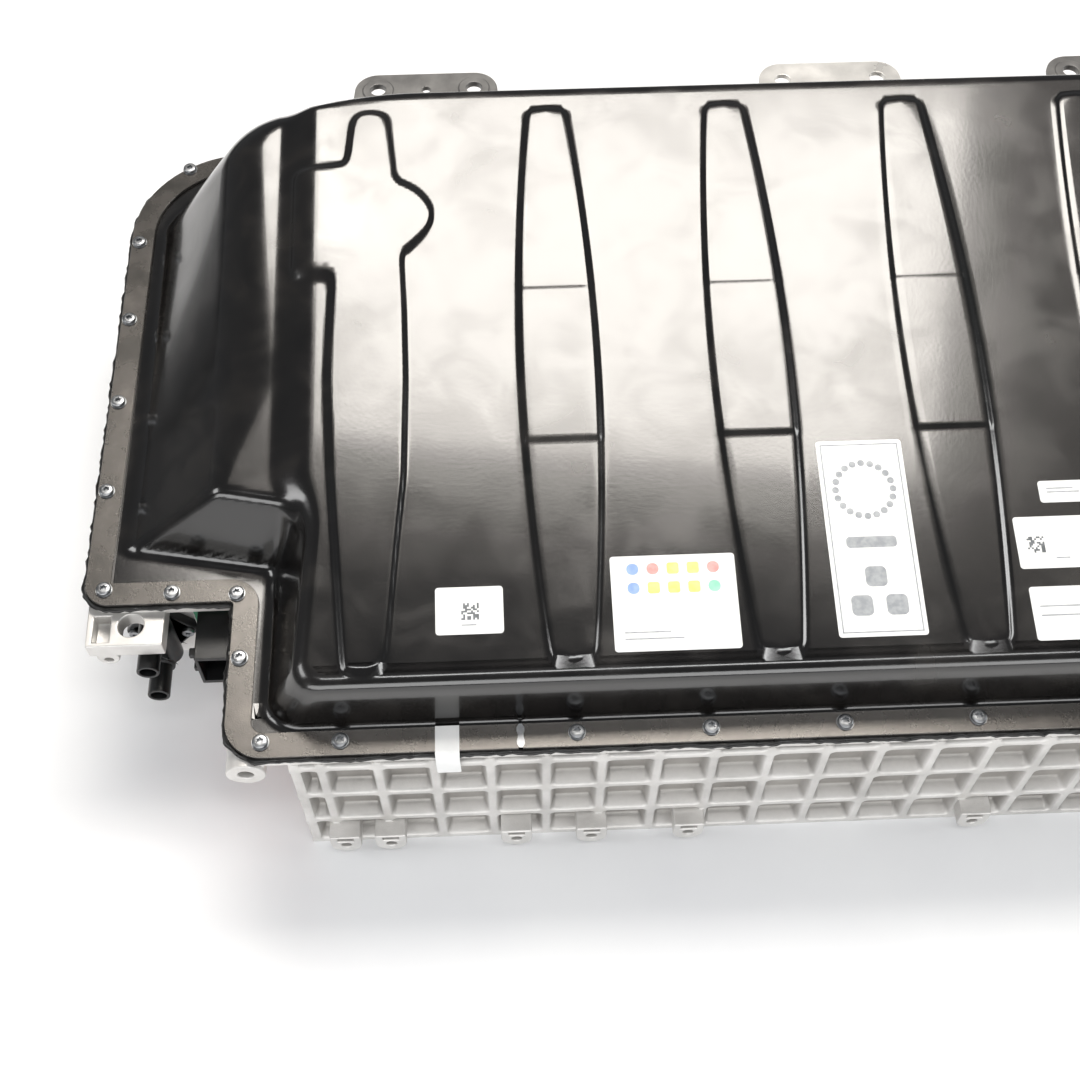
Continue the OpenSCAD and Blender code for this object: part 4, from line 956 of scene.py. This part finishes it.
# ----------------------------------------
# The rear brackets. Three pressed sheet-steel angles bolted to the back wall with
# zinc-plated hexagon bolts: two phosphated dark, the middle one bare and bright.
# ----------------------------------------
node_slot = {row["node"]: row["material_slot"] for row in frame["record"]["subparts"]}
node_body = {node: body for body, members in frame["record"]["behaviour"]["bodies"].items() for node in members}
finishes = {"cast_aluminium": cast, "strip_steel": strip_paint, "black_steel": gloss_black,
    "zinc_steel": zinc, "seal_rubber": sealant_black, "paper": film}


def broken_edges(material=None, **edges):
    """Gives each of those CAD pieces broken edges, that wide in millimetres, and its material."""
    for node, edge in edges.items():
        slot = node_slot[node]
        softened(node, node + "_piece", edge, material or finishes[slot], node_body[node])


# Phosphated sheet: dark grey, matt, blotched by the bath
phosphated = bright_metal("black_phosphated_bracket", "#6b6a69", "#807f7d", 0.34, 0.46, 20, 0.15, metallic=0.5)
# Stainless sheet, bare and bright
stainless = bright_metal("stainless_sheet", "#d3d1cd", "#e8e6e2", 0.26, 0.38, 30, 0.1, metallic=0.6)
broken_edges(phosphated, bracket_left=0.9, bracket_right=0.9)
broken_edges(stainless, bracket_middle=0.6)
broken_edges(bracket_bolts=0.5)

# ----------------------------------------
# The coolant inlet and the low-voltage socket. Moulded in glass-filled nylon and
# fixed to the tray's wall, each on a soft seal.
# ----------------------------------------


def moulded(name, dark, light, low, high, size, depth, ior=1.5, **more):
    """A plastic, rubber or ceramic: a quiet mottle, an even grain and a soft shine."""
    material = new_material(name)
    place = add(material, "ShaderNodeTexCoord").outputs["Object"]
    patches = add(material, "ShaderNodeTexNoise", {"Vector": place, "Scale": 1000 / size, "Detail": 4.0})
    grain = add(material, "ShaderNodeTexNoise", {"Vector": place, "Scale": 1500.0, "Detail": 2.0})
    bump = add(material, "ShaderNodeBump", {"Height": grain.outputs[0], "Strength": 0.3, "Distance": depth * mm})
    return shade(material, Normal=bump.outputs[0], IOR=ior, **more,
        Base_Color=ramp(material, patches.outputs[0], [(0.3, dark), (0.7, light)]),
        Roughness=ramp(material, patches.outputs[0], [(0.3, low), (0.7, high)]))


# Glass-filled nylon: near black, satin, with a spark-eroded grain
finishes["dark_plastic"] = moulded("glass_filled_nylon", "#0c0d0e", "#151617", 0.32, 0.45, 14, 0.25, 1.53)
# Silicone seal: green, soft and slightly waxy
finishes["green_rubber"] = moulded("green_silicone", "#1f6b4b", "#2c8460", 0.42, 0.55, 8, 0.15, 1.42)
broken_edges(coolant_inlet=0.9, coolant_screws=0.4, signal_socket=0.9, socket_gasket=0.4)

# ----------------------------------------
# The high-voltage socket. Orange nylon under the rim, with two turned brass pins,
# held by four screws.
# ----------------------------------------
# Nylon in high-voltage orange, smooth from the mould
finishes["orange_plastic"] = moulded("orange_nylon", "#d9560f", "#ea6c1a", 0.36, 0.48, 14, 0.2, 1.53)
# Turned brass, bright with a faint tarnish
finishes["brass"] = bright_metal("turned_brass", "#a8863f", "#cfae62", 0.18, 0.32, 7, 0.08)
broken_edges(power_socket=1.0, power_contacts=0.6, socket_screws=0.4)

# ----------------------------------------
# The pressure vent's nylon body, set through the right end wall up to its flange,
# and the zinc-plated earthing stud with its nut.
# ----------------------------------------
broken_edges(vent_body=0.6, ground_stud=0.5)

# ----------------------------------------
# The cooling plates, their pipes and the frame that carries the upper modules.
# Aluminium sheet and tube; the frame stands on the tray's floor.
# ----------------------------------------
# Rolled sheet as the mill leaves it: pale grey, directionless satin
finishes["sheet_aluminium"] = bright_metal("mill_finish_aluminium", "#b9babb", "#d3d4d5", 0.26, 0.4, 18, 0.12)
# Silicone gap filler between plate and cells, pale pink-grey putty
finishes["heat_pad"] = moulded("silicone_gap_filler", "#b98f93", "#c9a3a6", 0.55, 0.7, 10, 0.3, 1.42)
broken_edges(cooling_plate_lower=0.8, cooling_plate_upper=0.8, coolant_pipes=0.0, tier_frame=0.5)

# ----------------------------------------
# The cell modules. Twelve film-wrapped prismatic cells between cast end plates and
# welded side plates, with copper bars, a moulded carrier and a board on top.
# ----------------------------------------
# Polyester film wrapped round each aluminium cell: blue, glossy, faintly creased
finishes["cell_film"] = moulded("blue_polyester_film", "#1d4e86", "#2a64a3", 0.16, 0.3, 24, 0.2, 1.64, Coat_Weight=0.3)
# Natural polyester, cream white
finishes["light_plastic"] = moulded("natural_polyester", "#cfcabb", "#ddd9cc", 0.4, 0.52, 12, 0.2, 1.55)
# Rolled busbar copper, with fingerprints turning it brown
finishes["copper"] = bright_metal("busbar_copper", "#a85f3e", "#d08a62", 0.22, 0.4, 9, 0.1)
# Glass-epoxy board under green solder mask
finishes["board_green"] = moulded("solder_masked_board", "#0f4a2c", "#176b3f", 0.25, 0.38, 6, 0.1, 1.55)
broken_edges(cells_lower=1.0, cells_upper=1.0, cells_front=1.0, end_plates=0.8, side_plates=0.3, bar_carriers=0.5,
    cell_bars=0.5, cell_boards=0.3, module_bolts=0.6, module_links=0.6)

# ----------------------------------------
# The junction box and the controller. A nylon base with contactors, fuse, pre-
# charge resistor, current sensor and copper bars; the controller in its own case.
# ----------------------------------------
# Glazed ceramic bodies of the fuse and the resistor
finishes["ceramic"] = moulded("glazed_ceramic", "#d8d3c6", "#e6e2d6", 0.2, 0.32, 10, 0.05, 1.58)
broken_edges(box_base=0.6, contactor_cases=1.2, main_contacts=0.4, charge_resistor=0.8, main_fuse=0.8,
    current_sensor=1.2, box_bars=0.5, box_screws=0.4, controller_case=1.0, controller_lid=0.8, controller_screws=0.3)

# ----------------------------------------
# What keeps its CAD mesh: the small moving pieces, springs, coils, pads, spacers
# and seals, each in the material of its slot.
# ----------------------------------------
for node, piece in frame["nodes"].items():
    if piece.hide_render:
        continue
    for k in range(len(piece.material_slots)):
        piece.material_slots[k].material = finishes[node_slot[node]]
